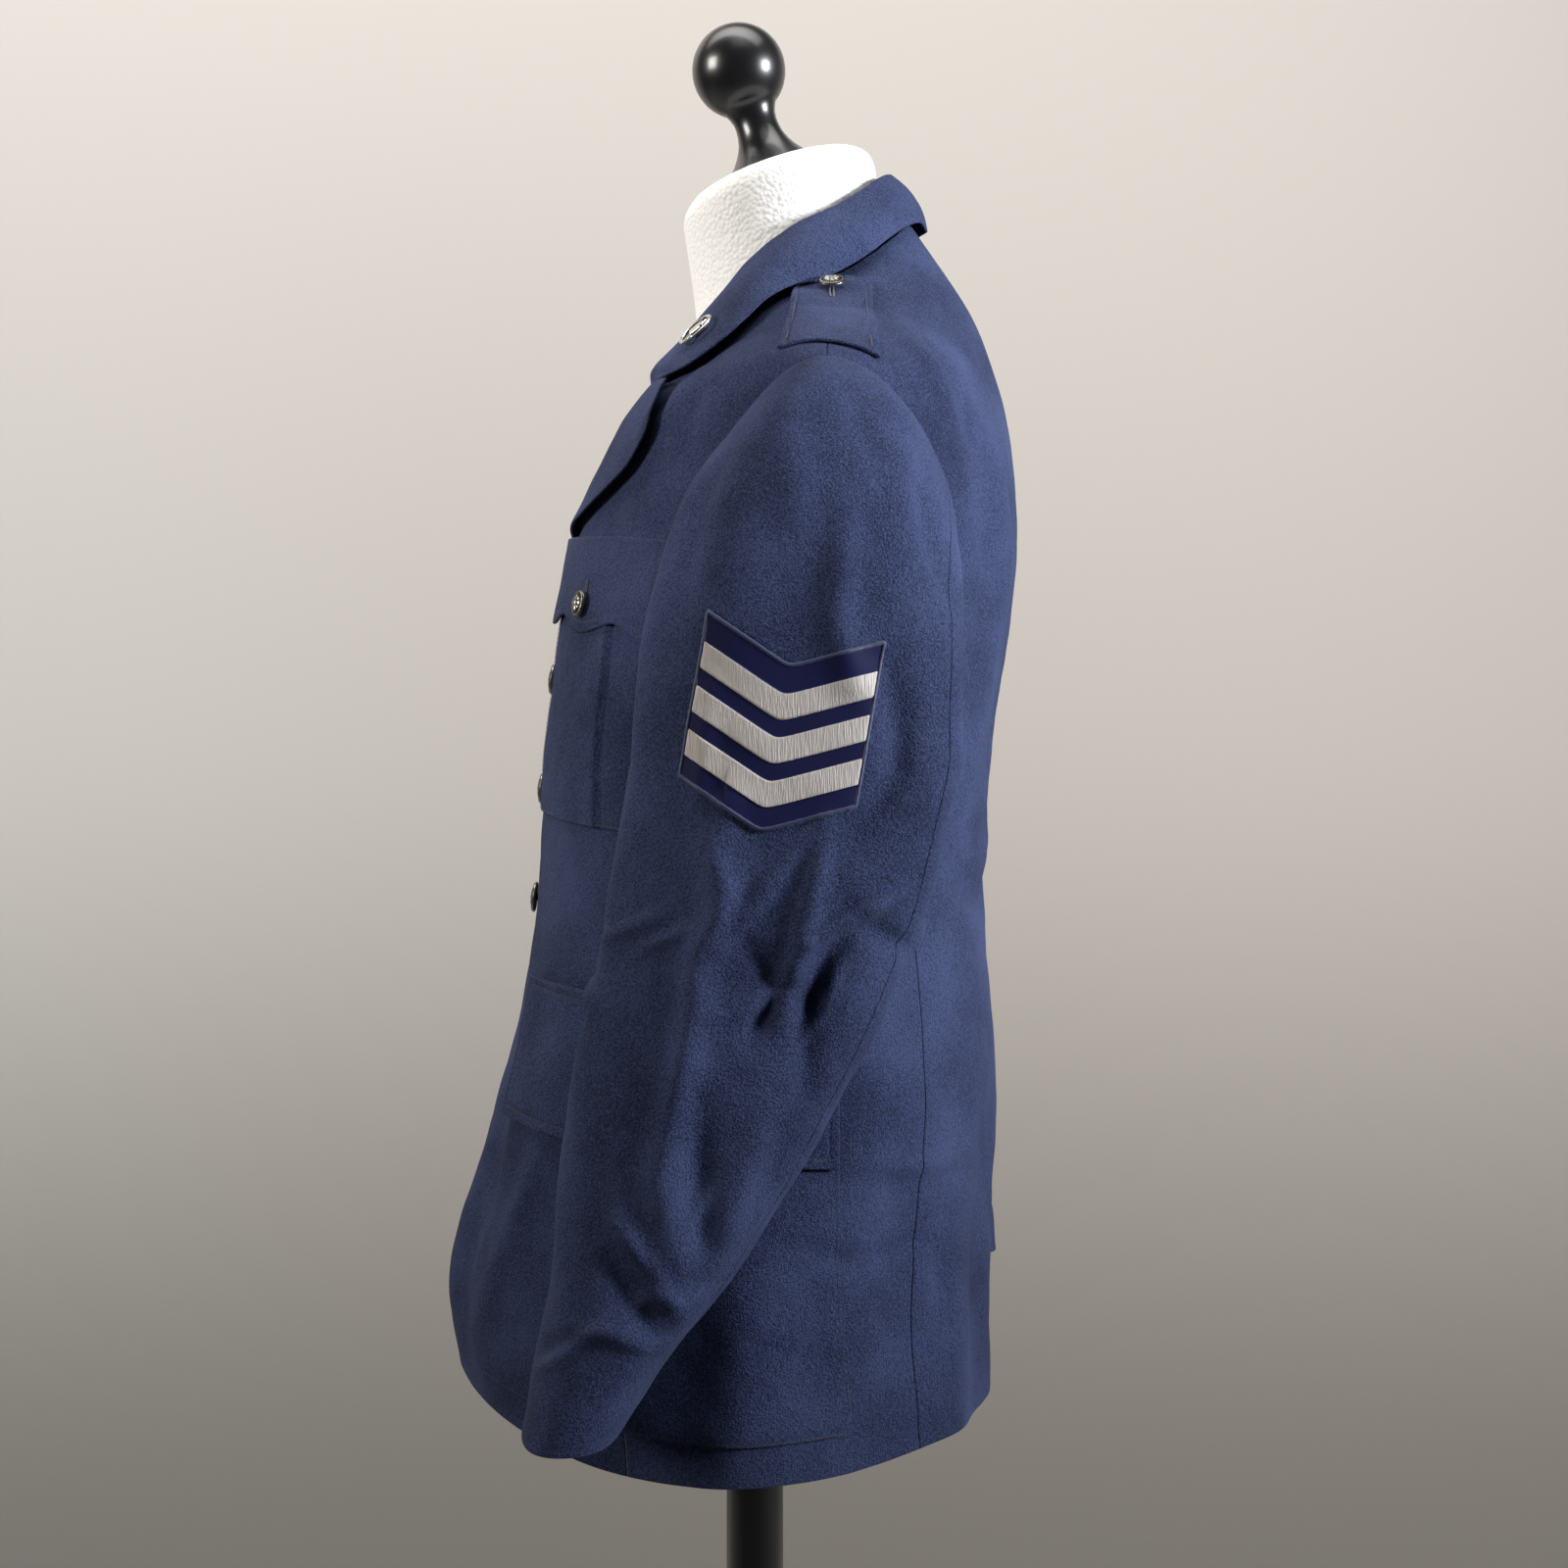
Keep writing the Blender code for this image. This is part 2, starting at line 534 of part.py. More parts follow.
def build_chest_pockets():
    places = ((0.045, 1.186), (0.174, 1.172), (0.045, 1.349), (0.176, 1.334))
    corners = [from_front(*place) for place in places]
    pleat = (0.32, 0.70)
    step = 0.012
    pleat_edges = [edge + way * step for edge in pleat for way in (-1, 1)]
    across = np.sort([0, 0.04, 0.16, *pleat_edges, 0.51, 0.84, 0.96, 1])
    u, v = np.meshgrid(across, [0, 0.04, 0.15, 0.4, 0.65, 0.85, 1])
    # The two lower corners are rounded.
    v = np.where((v == 0) & ((u < 0.01) | (u > 0.99)), 0.035, v)
    turn, level = between(corners, u, v)
    proud = PLEAT_RISE * ((u > pleat[0]) & (u < pleat[1]))
    places = ((0.041, 1.311), (0.178, 1.289), (0.043, 1.3565), (0.180, 1.341))
    flap = [from_front(*place) for place in places]
    wave = np.linspace(0, 1, 13)
    points_down = 0.17 * np.abs(np.cos(2 * np.pi * wave)) ** 1.5
    rows = np.linspace(0, 1, 4)[:, None]
    flap_turn, flap_level = between(flap, wave + 0 * rows, -points_down + (1 + points_down) * rows)
    for side, mirrored in (("left", False), ("right", True)):
        sheet(f"chest_pocket_{side}", coat, turn, level, LIE, LIE + POCKET_WALL + proud, mirrored=mirrored)
        top = FLAP_LIFT + DOUBLE
        sheet(f"chest_flap_{side}", coat, flap_turn, flap_level, FLAP_LIFT, top, mirrored=mirrored)
        place = between(flap, 0.5, 0.16)
        button(f"chest_button_{side}", coat, place, top, SMALL_BUTTON, mirrored)


def build_lower_pockets():
    pocket = [from_front(0.100, 0.848), from_side(0.058, 0.826)]
    pocket += [from_front(0.096, 1.076), from_side(0.047, 1.060)]
    across = np.concatenate([[0, 0.02], np.linspace(0.08, 0.92, 12), [0.98, 1]])
    u, v = np.meshgrid(across, [0, 0.03, 0.12, 0.26, 0.4, 0.55, 0.7, 0.85, 1])
    v = np.where((v == 0) & ((u < 0.01) | (u > 0.99)), 0.02, v)
    turn, level = between(pocket, u, v)
    flap = [from_front(0.090, 1.000), from_side(0.048, 0.982)]
    flap += [from_front(0.093, 1.086), from_side(0.045, 1.071)]
    flap_u, flap_v = np.meshgrid(np.linspace(0, 1, 14), np.linspace(0, 1, 4))
    flap_turn, flap_level = between(flap, flap_u, flap_v)
    for side, mirrored in (("left", False), ("right", True)):
        low = 1.5 * LIE
        sheet(f"lower_pocket_{side}", coat, turn, level, low, low + DOUBLE, BODY_FOLDS, mirrored=mirrored)
        low += DOUBLE + 1.5 * LIE
        top = low + DOUBLE
        sheet(f"lower_flap_{side}", coat, flap_turn, flap_level, low, top, BODY_FOLDS, mirrored=mirrored)


def build_epaulets():
    places = ((0.098, 0.025), (0.1985, 0.016), (0.096, 0.072), (0.1955, 0.073))
    corners = [from_above(*place) for place in places]
    along = np.linspace(0, 1, 8)
    u, v = np.meshgrid(along, np.linspace(0, 1, 9))
    # The inner end runs to a rounded point.
    point = 0.11 * (1 - (2 * v - 1) ** 2)
    u = u * (1 + point) - point
    turn, level = between(corners, u, v)
    for side, mirrored in (("left", False), ("right", True)):
        low = 1.8 * LIE
        sheet(f"epaulet_{side}", coat, turn, level, low, low + DOUBLE, mirrored=mirrored)
        place = between(corners, 0.045, 0.5)
        button(f"epaulet_button_{side}", coat, place, low + DOUBLE, SMALL_BUTTON, mirrored)


def turned(name, profile, steps, finish, origin=(0, 0, 0), axis=(0, 0, 1), mirrored=False):
    """A solid turned round an axis from (radius, height) pairs, closed at both ends."""
    axis = np.array(axis, float) / np.linalg.norm(axis)
    side = np.cross(axis, (1.0, 0, 0) if abs(axis[0]) < 0.8 else (0, 1.0, 0))
    side = side / np.linalg.norm(side)
    other = np.cross(axis, side)
    angles = np.linspace(0, 2 * np.pi, steps, endpoint=False)
    ring = np.cos(angles)[:, None] * side + np.sin(angles)[:, None] * other
    points = [np.array(origin) + axis * height + radius * ring for radius, height in profile]
    count = len(profile)
    ends = [np.array(origin) + axis * profile[0][1], np.array(origin) + axis * profile[-1][1]]
    faces = []
    for r in range(count - 1):
        for k in range(steps):
            n = (k + 1) % steps
            faces.append((r * steps + k, r * steps + n, (r + 1) * steps + n, (r + 1) * steps + k))
    for k in range(steps):
        n = (k + 1) % steps
        faces.append((count * steps, n, k))
        faces.append((count * steps + 1, (count - 1) * steps + k, (count - 1) * steps + n))
    return add(name, np.concatenate([np.concatenate(points), ends]), faces, finish, mirrored)


def button(name, surface, place, height, diameter, mirrored=False):
    """A domed metal button on its shank."""
    foot, out = on(surface, np.array(place[0]), np.array(place[1]), height + 2 * SEAM, BODY_FOLDS)
    radius = diameter / 2
    profile = [(0.0022, 0), (0.0022, 0.0016)]
    profile += [(radius * 0.9, 0.0018), (radius, 0.0024), (radius * 0.97, 0.0032)]
    profile += [(radius * np.cos(a), 0.0032 + 0.0030 * np.sin(a)) for a in np.radians((35, 70))]
    return turned(name, profile, 12, "metal", foot, out, mirrored)


def build_front_buttons():
    for number, height in enumerate(BUTTON_HEIGHTS, 1):
        place = find(coat, (0.5, 6), (0, 2), (0.0005, height))
        button(f"front_button_{number}", coat, place, 0.0, FRONT_BUTTON)


def build_badges():
    """Sleeve badges: a navy patch with pointed-down stripes a little proud of it. Collar badges: a ring."""
    centre_y, centre_z, half_width, half_height, lean = 0.016, 1.231, 0.047, 0.044, np.radians(10)
    across = np.linspace(-1, 1, 11)
    edges = [0, 0.10, 0.12, 0.26, 0.28, 0.38, 0.40, 0.54, 0.56, 0.66, 0.68, 0.82, 0.84, 1.0]
    raised = [0, 0, 1, 1, 0, 0, 1, 1, 0, 0, 1, 1, 0, 0]
    for side, surface, mirrored in (("left", left_sleeve, False), ("right", right_sleeve, True)):
        a, edge = np.meshgrid(across, edges)
        y = a * half_width
        z = half_height * (2 * edge - 1) + 0.022 * (np.abs(a) - 0.5)
        leaned_y = centre_y + y * np.cos(lean) + z * np.sin(lean)
        leaned_z = centre_z - y * np.sin(lean) + z * np.cos(lean)
        leaned = np.stack([leaned_y, leaned_z], -1)
        places = find(surface, (5 - 70 * a, 1.0 + 0 * a), (1, 2), leaned)
        u, v = places[..., 0], places[..., 1]
        top = 0.0014 + 0.0008 * np.array(raised)[:, None] + 0 * a
        low = 1.2 * LIE
        outer, _ = on(surface, u, v, low + top)
        inner, _ = on(surface, u, v, low)
        wall(f"sleeve_badge_{side}", outer, inner, "thread", mirrored)
    leaf = half_collar()
    out = grid_out(leaf)
    foot = (leaf[2, 3] + leaf[3, 2]) / 2
    away = out[2, 3] + out[3, 2]
    away = away / np.linalg.norm(away)
    away = away if away[0] > 0 else -away
    ring = [(0.0115, 0), (0.0125, 0.0004), (0.0125, 0.0020), (0.0115, 0.0024)]
    ring += [(0.0100, 0.0020), (0.0096, 0.0010), (0.0050, 0.0010), (0.0042, 0.0024)]
    for side, mirrored in (("left", False), ("right", True)):
        turned(f"collar_badge_{side}", ring, 16, "metal", foot + away * 0.0006, away, mirrored)


def build_form():
    """The foam form fills the coat loosely and carries it along the shoulders."""
    FormRow = namedtuple("FormRow", "level at_ridge elsewhere")
    rows = (
        FormRow(1.30, 0.034, 0.036),
        FormRow(2.2, 0.030, 0.030),
        FormRow(3.4, 0.028, 0.024),
        FormRow(5.0, 0.032, 0.020),
        FormRow(6.5, 0.030, 0.017),
        FormRow(8.0, 0.032, 0.014),
        FormRow(9.2, 0.034, 0.012),
        FormRow(9.8, 0.030, 0.011),
        FormRow(10.2, 0.021, 0.010),
        FormRow(10.5, 0.0090, 0.008),
        FormRow(10.8, WALL + 0.0012, 0.006),
        FormRow(11.1, WALL + 0.0007, 0.006),
        FormRow(11.5, WALL + 0.0007, 0.006),
        FormRow(11.85, WALL + 0.0009, 0.005),
        FormRow(12.00, 0.006, 0.009),
    )
    turns = np.radians(np.linspace(0, 360, 40, endpoint=False))
    rings = []
    for row in rows:
        degrees = np.degrees(turns)
        near_ridge = np.abs(np.sin(turns)) ** 6
        depth = row.elsewhere + (row.at_ridge - row.elsewhere) * near_ridge
        rings.append(on(coat, degrees, row.level, -depth)[0])
    rings[0] = np.concatenate([rings[0][:, :2], np.full((len(turns), 1), FORM_FOOT)], 1)
    # The neck leans forward and ends in a level cut across its lean, with a rounded edge.
    NeckRow = namedtuple("NeckRow", "radius y z lean")
    for neck in (
        NeckRow(0.0705, 0.0240, 1.530, 28),
        NeckRow(0.0665, 0.0200, 1.556, 23),
        NeckRow(0.0655, 0.0165, 1.580, 18),
        NeckRow(0.0620, 0.0145, 1.591, 18),
        NeckRow(0.0540, 0.0125, 1.597, 18),
        NeckRow(0.0340, 0.0115, 1.600, 18),
    ):
        x = neck.radius * np.sin(turns)
        y = neck.y - neck.radius * np.cos(turns) * np.cos(np.radians(neck.lean))
        z = neck.z - neck.radius * np.cos(turns) * np.sin(np.radians(neck.lean))
        rings.append(np.stack([x, y, z], -1))
    steps = len(turns)
    faces = []
    for r in range(len(rings) - 1):
        for k in range(steps):
            n = (k + 1) % steps
            faces.append((r * steps + k, r * steps + n, (r + 1) * steps + n, (r + 1) * steps + k))
    faces.append(tuple(range(steps - 1, -1, -1)))
    faces.append(tuple((len(rings) - 1) * steps + k for k in range(steps)))
    add("form_torso", np.concatenate(rings), faces, "foam")
    lean = np.radians(18)
    ball_centre, ball = 0.071, 0.0305
    profile = [(0.029, 0.0), (0.029, 0.004), (0.025, 0.008), (0.019, 0.016), (0.0150, 0.025), (0.0138, 0.034)]
    profile += [(0.0150, 0.0405)]
    turns = np.radians((-55, -35, -15, 5, 25, 45, 65, 82))
    profile += [(ball * np.cos(turn), ball_centre + ball * np.sin(turn)) for turn in turns]
    axis = (0, -np.sin(lean), np.cos(lean))
    foot = np.array([0, 0.0115, 1.600]) + SEAM * np.array(axis)
    turned("form_finial", profile, 18, "black", foot, axis)
    pole = [(POLE_RADIUS, BASE_HEIGHT + SEAM), (POLE_RADIUS, FORM_FOOT - SEAM)]
    turned("form_pole", pole, 20, "black")
    edge = 0.006
    base = [(BASE_RADIUS - 0.002, 0), (BASE_RADIUS, 0.002), (BASE_RADIUS, 0.014), (BASE_RADIUS - edge, 0.019)]
    base += [(0.06, BASE_HEIGHT - edge / 2), (0.045, BASE_HEIGHT)]
    turned("form_base", base, 32, "black")


build_form()
build_fronts()
build_sides()
build_backs()
build_lapels()
build_collar()
build_sleeves()
build_chest_pockets()
build_lower_pockets()
build_epaulets()
build_front_buttons()
build_badges()
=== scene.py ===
"""A dark blue uniform coat on a limbless foam dress form with a turned finial, a pole and a round base.

Metres, +Z up. The coat's front faces -Y and its wearer's left is +X. The origin is on the floor, under
the pole.
"""
from collections import namedtuple

import bpy
import numpy as np
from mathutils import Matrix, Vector


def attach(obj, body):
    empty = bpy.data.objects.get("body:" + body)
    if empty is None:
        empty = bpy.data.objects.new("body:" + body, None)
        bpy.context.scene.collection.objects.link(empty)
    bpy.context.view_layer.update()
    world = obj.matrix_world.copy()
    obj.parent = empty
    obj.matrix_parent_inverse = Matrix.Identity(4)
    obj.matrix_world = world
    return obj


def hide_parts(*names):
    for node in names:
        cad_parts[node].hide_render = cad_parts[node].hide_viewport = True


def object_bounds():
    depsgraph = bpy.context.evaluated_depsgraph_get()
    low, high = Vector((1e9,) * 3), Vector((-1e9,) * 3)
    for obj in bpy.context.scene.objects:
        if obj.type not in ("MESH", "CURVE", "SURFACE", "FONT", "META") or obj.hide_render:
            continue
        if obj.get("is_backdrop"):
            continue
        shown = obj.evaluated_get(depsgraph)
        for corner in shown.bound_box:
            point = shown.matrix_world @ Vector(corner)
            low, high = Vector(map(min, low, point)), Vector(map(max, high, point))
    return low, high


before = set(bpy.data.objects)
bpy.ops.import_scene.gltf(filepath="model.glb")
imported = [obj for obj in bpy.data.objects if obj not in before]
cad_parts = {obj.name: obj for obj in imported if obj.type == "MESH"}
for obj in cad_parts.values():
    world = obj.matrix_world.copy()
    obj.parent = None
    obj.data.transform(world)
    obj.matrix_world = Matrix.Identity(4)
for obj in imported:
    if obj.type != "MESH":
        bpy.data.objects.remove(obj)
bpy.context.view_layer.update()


# Stand: a heavy spun-steel disc and a steel tube, both painted gloss black.
# The tube is screwed into the disc and runs up into the foam.
BASE_RADIUS = 0.180
BASE_HEIGHT = 0.030
POLE_RADIUS = 0.0185
FORM_FOOT = 0.900  # height of the form's flat underside
GAP = 0.0003  # between pieces that touch
BLACK_PAINT = (0.006, 0.006, 0.007, 1)


def finish(name, colour, roughness, metallic=0.0, **sockets):
    """A plain material and its shader, with values for more sockets by name, _ for a space."""
    made = bpy.data.materials.new(name)
    made.use_nodes = True
    shader = made.node_tree.nodes["Principled BSDF"]
    shader.inputs["Base Color"].default_value = colour
    shader.inputs["Roughness"].default_value = roughness
    shader.inputs["Metallic"].default_value = metallic
    for socket, value in sockets.items():
        shader.inputs[socket.replace("_", " ")].default_value = value
    return made, shader


def put(name, points, faces, materials, node=None, mirrored=False, slots=None, sharp=50):
    """A mesh object that rides on the coat's one body. Mirrored, it is the right side's piece."""
    points = np.array(points, float).reshape(-1, 3)
    if mirrored:
        points = points * np.array([-1, 1, 1])
        faces = [face[::-1] for face in faces]
    mesh = bpy.data.meshes.new(name)
    mesh.from_pydata(points.tolist(), [], faces)
    for made in materials:
        mesh.materials.append(made)
    if slots is not None:
        mesh.polygons.foreach_set("material_index", slots)
    mesh.shade_smooth()
    mesh.set_sharp_from_angle(angle=np.radians(sharp))
    mesh.validate()
    piece = bpy.data.objects.new(name, mesh)
    bpy.context.scene.collection.objects.link(piece)
    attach(piece, "root")
    if node:
        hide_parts(node)
    return piece


def unit(ways):
    return ways / np.maximum(np.linalg.norm(ways, axis=-1, keepdims=True), 1e-12)


def bands(rings, steps, closed=False):
    """Quads between each ring of points and the next, and from the last to the first if it is closed."""
    here = np.arange(rings * steps).reshape(rings, steps)
    above = np.roll(here, -1, 0)
    quads = np.stack([here, np.roll(here, -1, 1), np.roll(above, -1, 1), above], -1)
    return quads[: None if closed else -1].reshape(-1, 4).tolist()


def capped(rings, steps):
    """The bands with a face over each end."""
    last = (rings - 1) * steps
    return bands(rings, steps) + [list(range(steps))[::-1], [last + k for k in range(steps)]]


def turned_over(faces):
    return [face[::-1] for face in faces]


def circle(steps):
    angles = np.linspace(0, 2 * np.pi, steps, endpoint=False)
    return np.cos(angles), np.sin(angles)


def ring_frame(axis):
    """An axis and two directions across it, each of length 1."""
    axis = unit(np.array(axis, float))
    side = unit(np.cross(axis, (1.0, 0, 0) if abs(axis[0]) < 0.8 else (0, 1.0, 0)))
    return axis, side, np.cross(axis, side)


def turned(name, node, profile, steps, origin=(0, 0, 0), axis=(0, 0, 1)):
    """A black solid turned round an axis from (radius, height) pairs, closed at both ends."""
    axis, side, other = ring_frame(axis)
    cosine, sine = circle(steps)
    ring = cosine[:, None] * side + sine[:, None] * other
    points = np.concatenate([np.array(origin) + axis * height + radius * ring for radius, height in profile])
    return put(name, points, capped(len(profile), steps), [black_paint], node, sharp=35)


def arc(centre_radius, centre_height, radius, start, end, steps):
    """Profile points on a circle, from one angle to another in degrees."""
    angles = np.radians(np.linspace(start, end, steps))
    return [(centre_radius + radius * np.cos(a), centre_height + radius * np.sin(a)) for a in angles]


black_paint, _ = finish("black_paint", BLACK_PAINT, 0.30, Coat_Weight=0.25, Coat_Roughness=0.12)

base_profile = [(BASE_RADIUS - 0.002, 0), (BASE_RADIUS, 0.002)]
base_profile += arc(BASE_RADIUS - 0.005, 0.014, 0.005, 0, 80, 8)
base_profile += [(0.062, BASE_HEIGHT - 0.004)]
base_profile += arc(0.042, BASE_HEIGHT - 0.0035, 0.0035, 60, 90, 4)
turned("stand_base", "form_base", base_profile, 128)

turned("stand_pole", "form_pole", [(POLE_RADIUS, BASE_HEIGHT + GAP), (POLE_RADIUS, FORM_FOOT - GAP)], 64)


# Finial: a turned wooden neck cap, lacquered gloss black. Its foot flares out over the neck's cut,
# its waist is narrow and a flattened ball tops it. It leans forward with the neck.
FINIAL_LEAN = np.radians(18)
FINIAL_FOOT = (0, 0.0115, 1.600)
BALL_RADIUS = 0.0305
BALL_HEIGHT = 0.071

finial_axis = (0, -np.sin(FINIAL_LEAN), np.cos(FINIAL_LEAN))
finial_profile = [(0.0285, 0.0), (0.0292, 0.0012), (0.0290, 0.0040), (0.0268, 0.0064), (0.0240, 0.0095)]
finial_profile += [(0.0205, 0.0140), (0.0175, 0.0190), (0.0154, 0.0240), (0.0142, 0.0290), (0.0138, 0.0340)]
finial_profile += [(0.0141, 0.0380), (0.0152, 0.0415)]
finial_profile += arc(0, BALL_HEIGHT, BALL_RADIUS, -56, 86, 30)
lifted_foot = np.array(FINIAL_FOOT) + GAP * np.array(finial_axis)
turned("finial", "form_finial", finial_profile, 96, lifted_foot, finial_axis)


# Coat's shape: what a block pattern gives. A place on it is a turn, in degrees from the centre front
# over the wearer's left, and a level, which counts these rows up from the hem.
WALL = 0.0018  # worsted with its lining
DOUBLE = 0.0024  # two layers, turned and pressed
LIE = 0.0008  # gap under a piece that lies on another
LAP = 0.018  # how far each front runs past the centre line


def table(columns, *rows):
    """Rows with named columns."""
    Row = namedtuple("Row", columns)
    return tuple(Row(*row) for row in rows)


COAT_LEVELS = table(
    "z_front z_side z_back half_width y_front y_back roundness",
    (0.837, 0.800, 0.814, 0.190, -0.190, 0.153, 1.00),  # hem
    (0.893, 0.885, 0.888, 0.190, -0.194, 0.153, 1.00),
    (0.955, 0.950, 0.950, 0.191, -0.176, 0.155, 1.00),
    (1.015, 1.010, 1.010, 0.191, -0.161, 0.157, 0.95),  # hip
    (1.075, 1.070, 1.070, 0.187, -0.147, 0.152, 0.90),
    (1.135, 1.130, 1.130, 0.184, -0.139, 0.148, 0.88),  # waist
    (1.200, 1.195, 1.195, 0.188, -0.135, 0.150, 0.88),
    (1.265, 1.258, 1.262, 0.197, -0.1285, 0.158, 0.92),  # underarm
    (1.325, 1.320, 1.325, 0.204, -0.1205, 0.168, 0.99),  # chest
    (1.378, 1.385, 1.385, 0.210, -0.110, 0.1695, 1.08),
    (1.420, 1.438, 1.437, 0.216, -0.0915, 0.163, 1.18),  # shoulder tip
    (1.452, 1.474, 1.503, 0.150, -0.070, 0.1425, 1.15),
    (1.478, 1.512, 1.565, 0.082, -0.053, 0.101, 1.00),  # neckline
)
SHOULDER_TIP = 10.0
NECKLINE = 12.0

# A crease runs along a path of places in the side view (a is y) or the front or back view (a is |x|).
# Lean over 1 makes it broader on the left of its path. A height below 0 is a trough.
Crease = namedtuple("Crease", "view width height path lean", defaults=[1.0])


def seen_from(view, rows):
    """Creases of one view from rows of width, height, path and, where it isn't 1, lean."""
    return tuple(Crease(view, *row) for row in rows)


BODY_CREASES = seen_from("front", (
    (0.022, 0.005, ((0.046, 1.0), (0.04, 0.86))),
    (0.016, -0.004, ((0.074, 0.99), (0.078, 0.85))),
)) + seen_from("side", (
    (0.03, 0.008, ((-0.001, 0.95), (-0.004, 0.867), (-0.009, 0.79)), 1.3),
    (0.018, -0.006, ((0.09, 0.99), (0.092, 0.82))),
    (0.014, 0.006, ((0.118, 0.95), (0.122, 0.805))),
    (0.006, -0.004, ((0.112, 0.925), (0.114, 0.88))),
    (0.007, 0.004, ((-0.12, 0.992), (-0.134, 0.951), (-0.148, 0.917), (-0.165, 0.874))),
    (0.006, -0.0015, ((0.002, 0.883), (0.047, 0.869), (0.075, 0.867))),
    (0.008, 0.003, ((0.082, 1.486), (0.1, 1.464), (0.111, 1.444), (0.112, 1.409))),
    (0.007, 0.002, ((-0.045, 1.43), (-0.01, 1.45), (0.017, 1.459))),
    (0.006, 0.0015, ((-0.05, 1.415), (-0.02, 1.438), (0.008, 1.444))),
    (0.009, 0.005, ((0.152, 1.385), (0.143, 1.357), (0.14, 1.333), (0.137, 1.27)), 0.7),
    (0.005, 0.0022, ((-0.031, 1.445), (-0.054, 1.413), (-0.064, 1.382))),
    (0.005, -0.0022, ((-0.021, 1.445), (-0.033, 1.422), (-0.038, 1.396))),
    (0.0055, 0.0024, ((0.086, 1.47), (0.108, 1.44), (0.124, 1.4))),
    (0.005, -0.0022, ((0.098, 1.468), (0.12, 1.436), (0.134, 1.395))),
    (0.006, 0.002, ((0.06, 0.985), (0.1, 0.975), (0.13, 0.978))),
    (0.006, -0.002, ((0.02, 0.94), (0.06, 0.925), (0.1, 0.93))),
)) + seen_from("back", (
    (0.022, -0.006, ((0.06, 1.01), (0.075, 0.825))),
    (0.018, 0.006, ((0.095, 1.39), (0.1, 1.27))),
    (0.014, -0.006, ((0.125, 1.38), (0.122, 1.28))),
    (0.01, 0.003, ((0.02, 1.18), (0.07, 1.15), (0.12, 1.16))),
    (0.01, -0.003, ((0.01, 1.15), (0.06, 1.125), (0.11, 1.13))),
))
RIGHT_BODY_CREASES = seen_from("front", (
    (0.02, 0.005, ((0.05, 1.0), (0.038, 0.87))),
    (0.016, -0.004, ((0.076, 0.98), (0.074, 0.85))),
)) + seen_from("side", (
    (0.034, 0.006, ((-0.012, 0.94), (-0.018, 0.81)), 0.8),
    (0.017, -0.006, ((0.094, 0.99), (0.09, 0.82))),
    (0.015, 0.006, ((0.119, 0.96), (0.124, 0.805))),
    (0.007, 0.004, ((-0.122, 0.98), (-0.138, 0.94), (-0.16, 0.885))),
    (0.008, 0.002, ((0.084, 1.482), (0.104, 1.455), (0.11, 1.415))),
    (0.007, 0.0015, ((-0.04, 1.428), (0.012, 1.455))),
)) + seen_from("back", (
    (0.02, -0.006, ((0.068, 1.0), (0.07, 0.825))),
    (0.017, 0.006, ((0.092, 1.385), (0.102, 1.275))),
    (0.014, -0.006, ((0.124, 1.375), (0.122, 1.285))),
    (0.011, 0.003, ((0.015, 1.165), (0.08, 1.145), (0.125, 1.165))),
))


def smooth(low, high, x):
    share = np.clip((x - low) / (high - low), 0.0, 1.0)
    return share * share * (3 - 2 * share)


def through(rows, place):
    """The rows' columns at a place between them, on a smooth curve through every row."""
    rows = np.array(rows, float)
    place = np.clip(np.asarray(place, float), 0, len(rows) - 1)
    low = np.minimum(place.astype(int), len(rows) - 2)
    share = (place - low)[..., None]
    before = rows[np.maximum(low - 1, 0)]
    after = rows[np.minimum(low + 2, len(rows) - 1)]
    here = rows[low]
    there = rows[low + 1]
    leave = np.where((low > 0)[..., None], (there - before) / 2, there - here)
    arrive = np.where((low < len(rows) - 2)[..., None], (after - here) / 2, there - here)
    cube = share**3
    square = share**2
    return (
        (2 * cube - 3 * square + 1) * here
        + (cube - 2 * square + share) * leave
        + (3 * square - 2 * cube) * there
        + (cube - square) * arrive
    )


def coat(turn, level):
    """Points of the coat's outer surface, without its creases."""
    turn, level = np.broadcast_arrays(np.asarray(turn, float), np.asarray(level, float))
    row = np.moveaxis(through(COAT_LEVELS, level), -1, 0)
    z_front, z_side, z_back, half, y_front, y_back, roundness = row
    sine = np.sin(np.radians(turn))
    cosine = np.cos(np.radians(turn))
    x = half * np.sign(sine) * np.abs(sine) ** roundness
    reach = (y_back - y_front) / 2 * np.sign(cosine) * np.abs(cosine) ** roundness
    ahead = np.maximum(cosine, 0) ** 2
    behind = np.minimum(cosine, 0) ** 2
    z = z_front * ahead + z_side * sine**2 + z_back * behind
    return np.stack([x, (y_front + y_back) / 2 - reach, z], -1)


def unevenness(points):
    """Soft swells of a few tenths of a millimetre that any worn cloth has."""
    x, y, z = np.moveaxis(points, -1, 0)
    wide = np.sin(61 * y + 37 * z + 3 * np.sin(23 * x)) * np.sin(43 * z - 29 * y + 19 * x)
    fine = np.sin(151 * z + 67 * y + 2 * np.sin(71 * x + 40 * y)) * np.sin(113 * y - 97 * x + 31 * z)
    return 0.0007 * wide + 0.00022 * fine


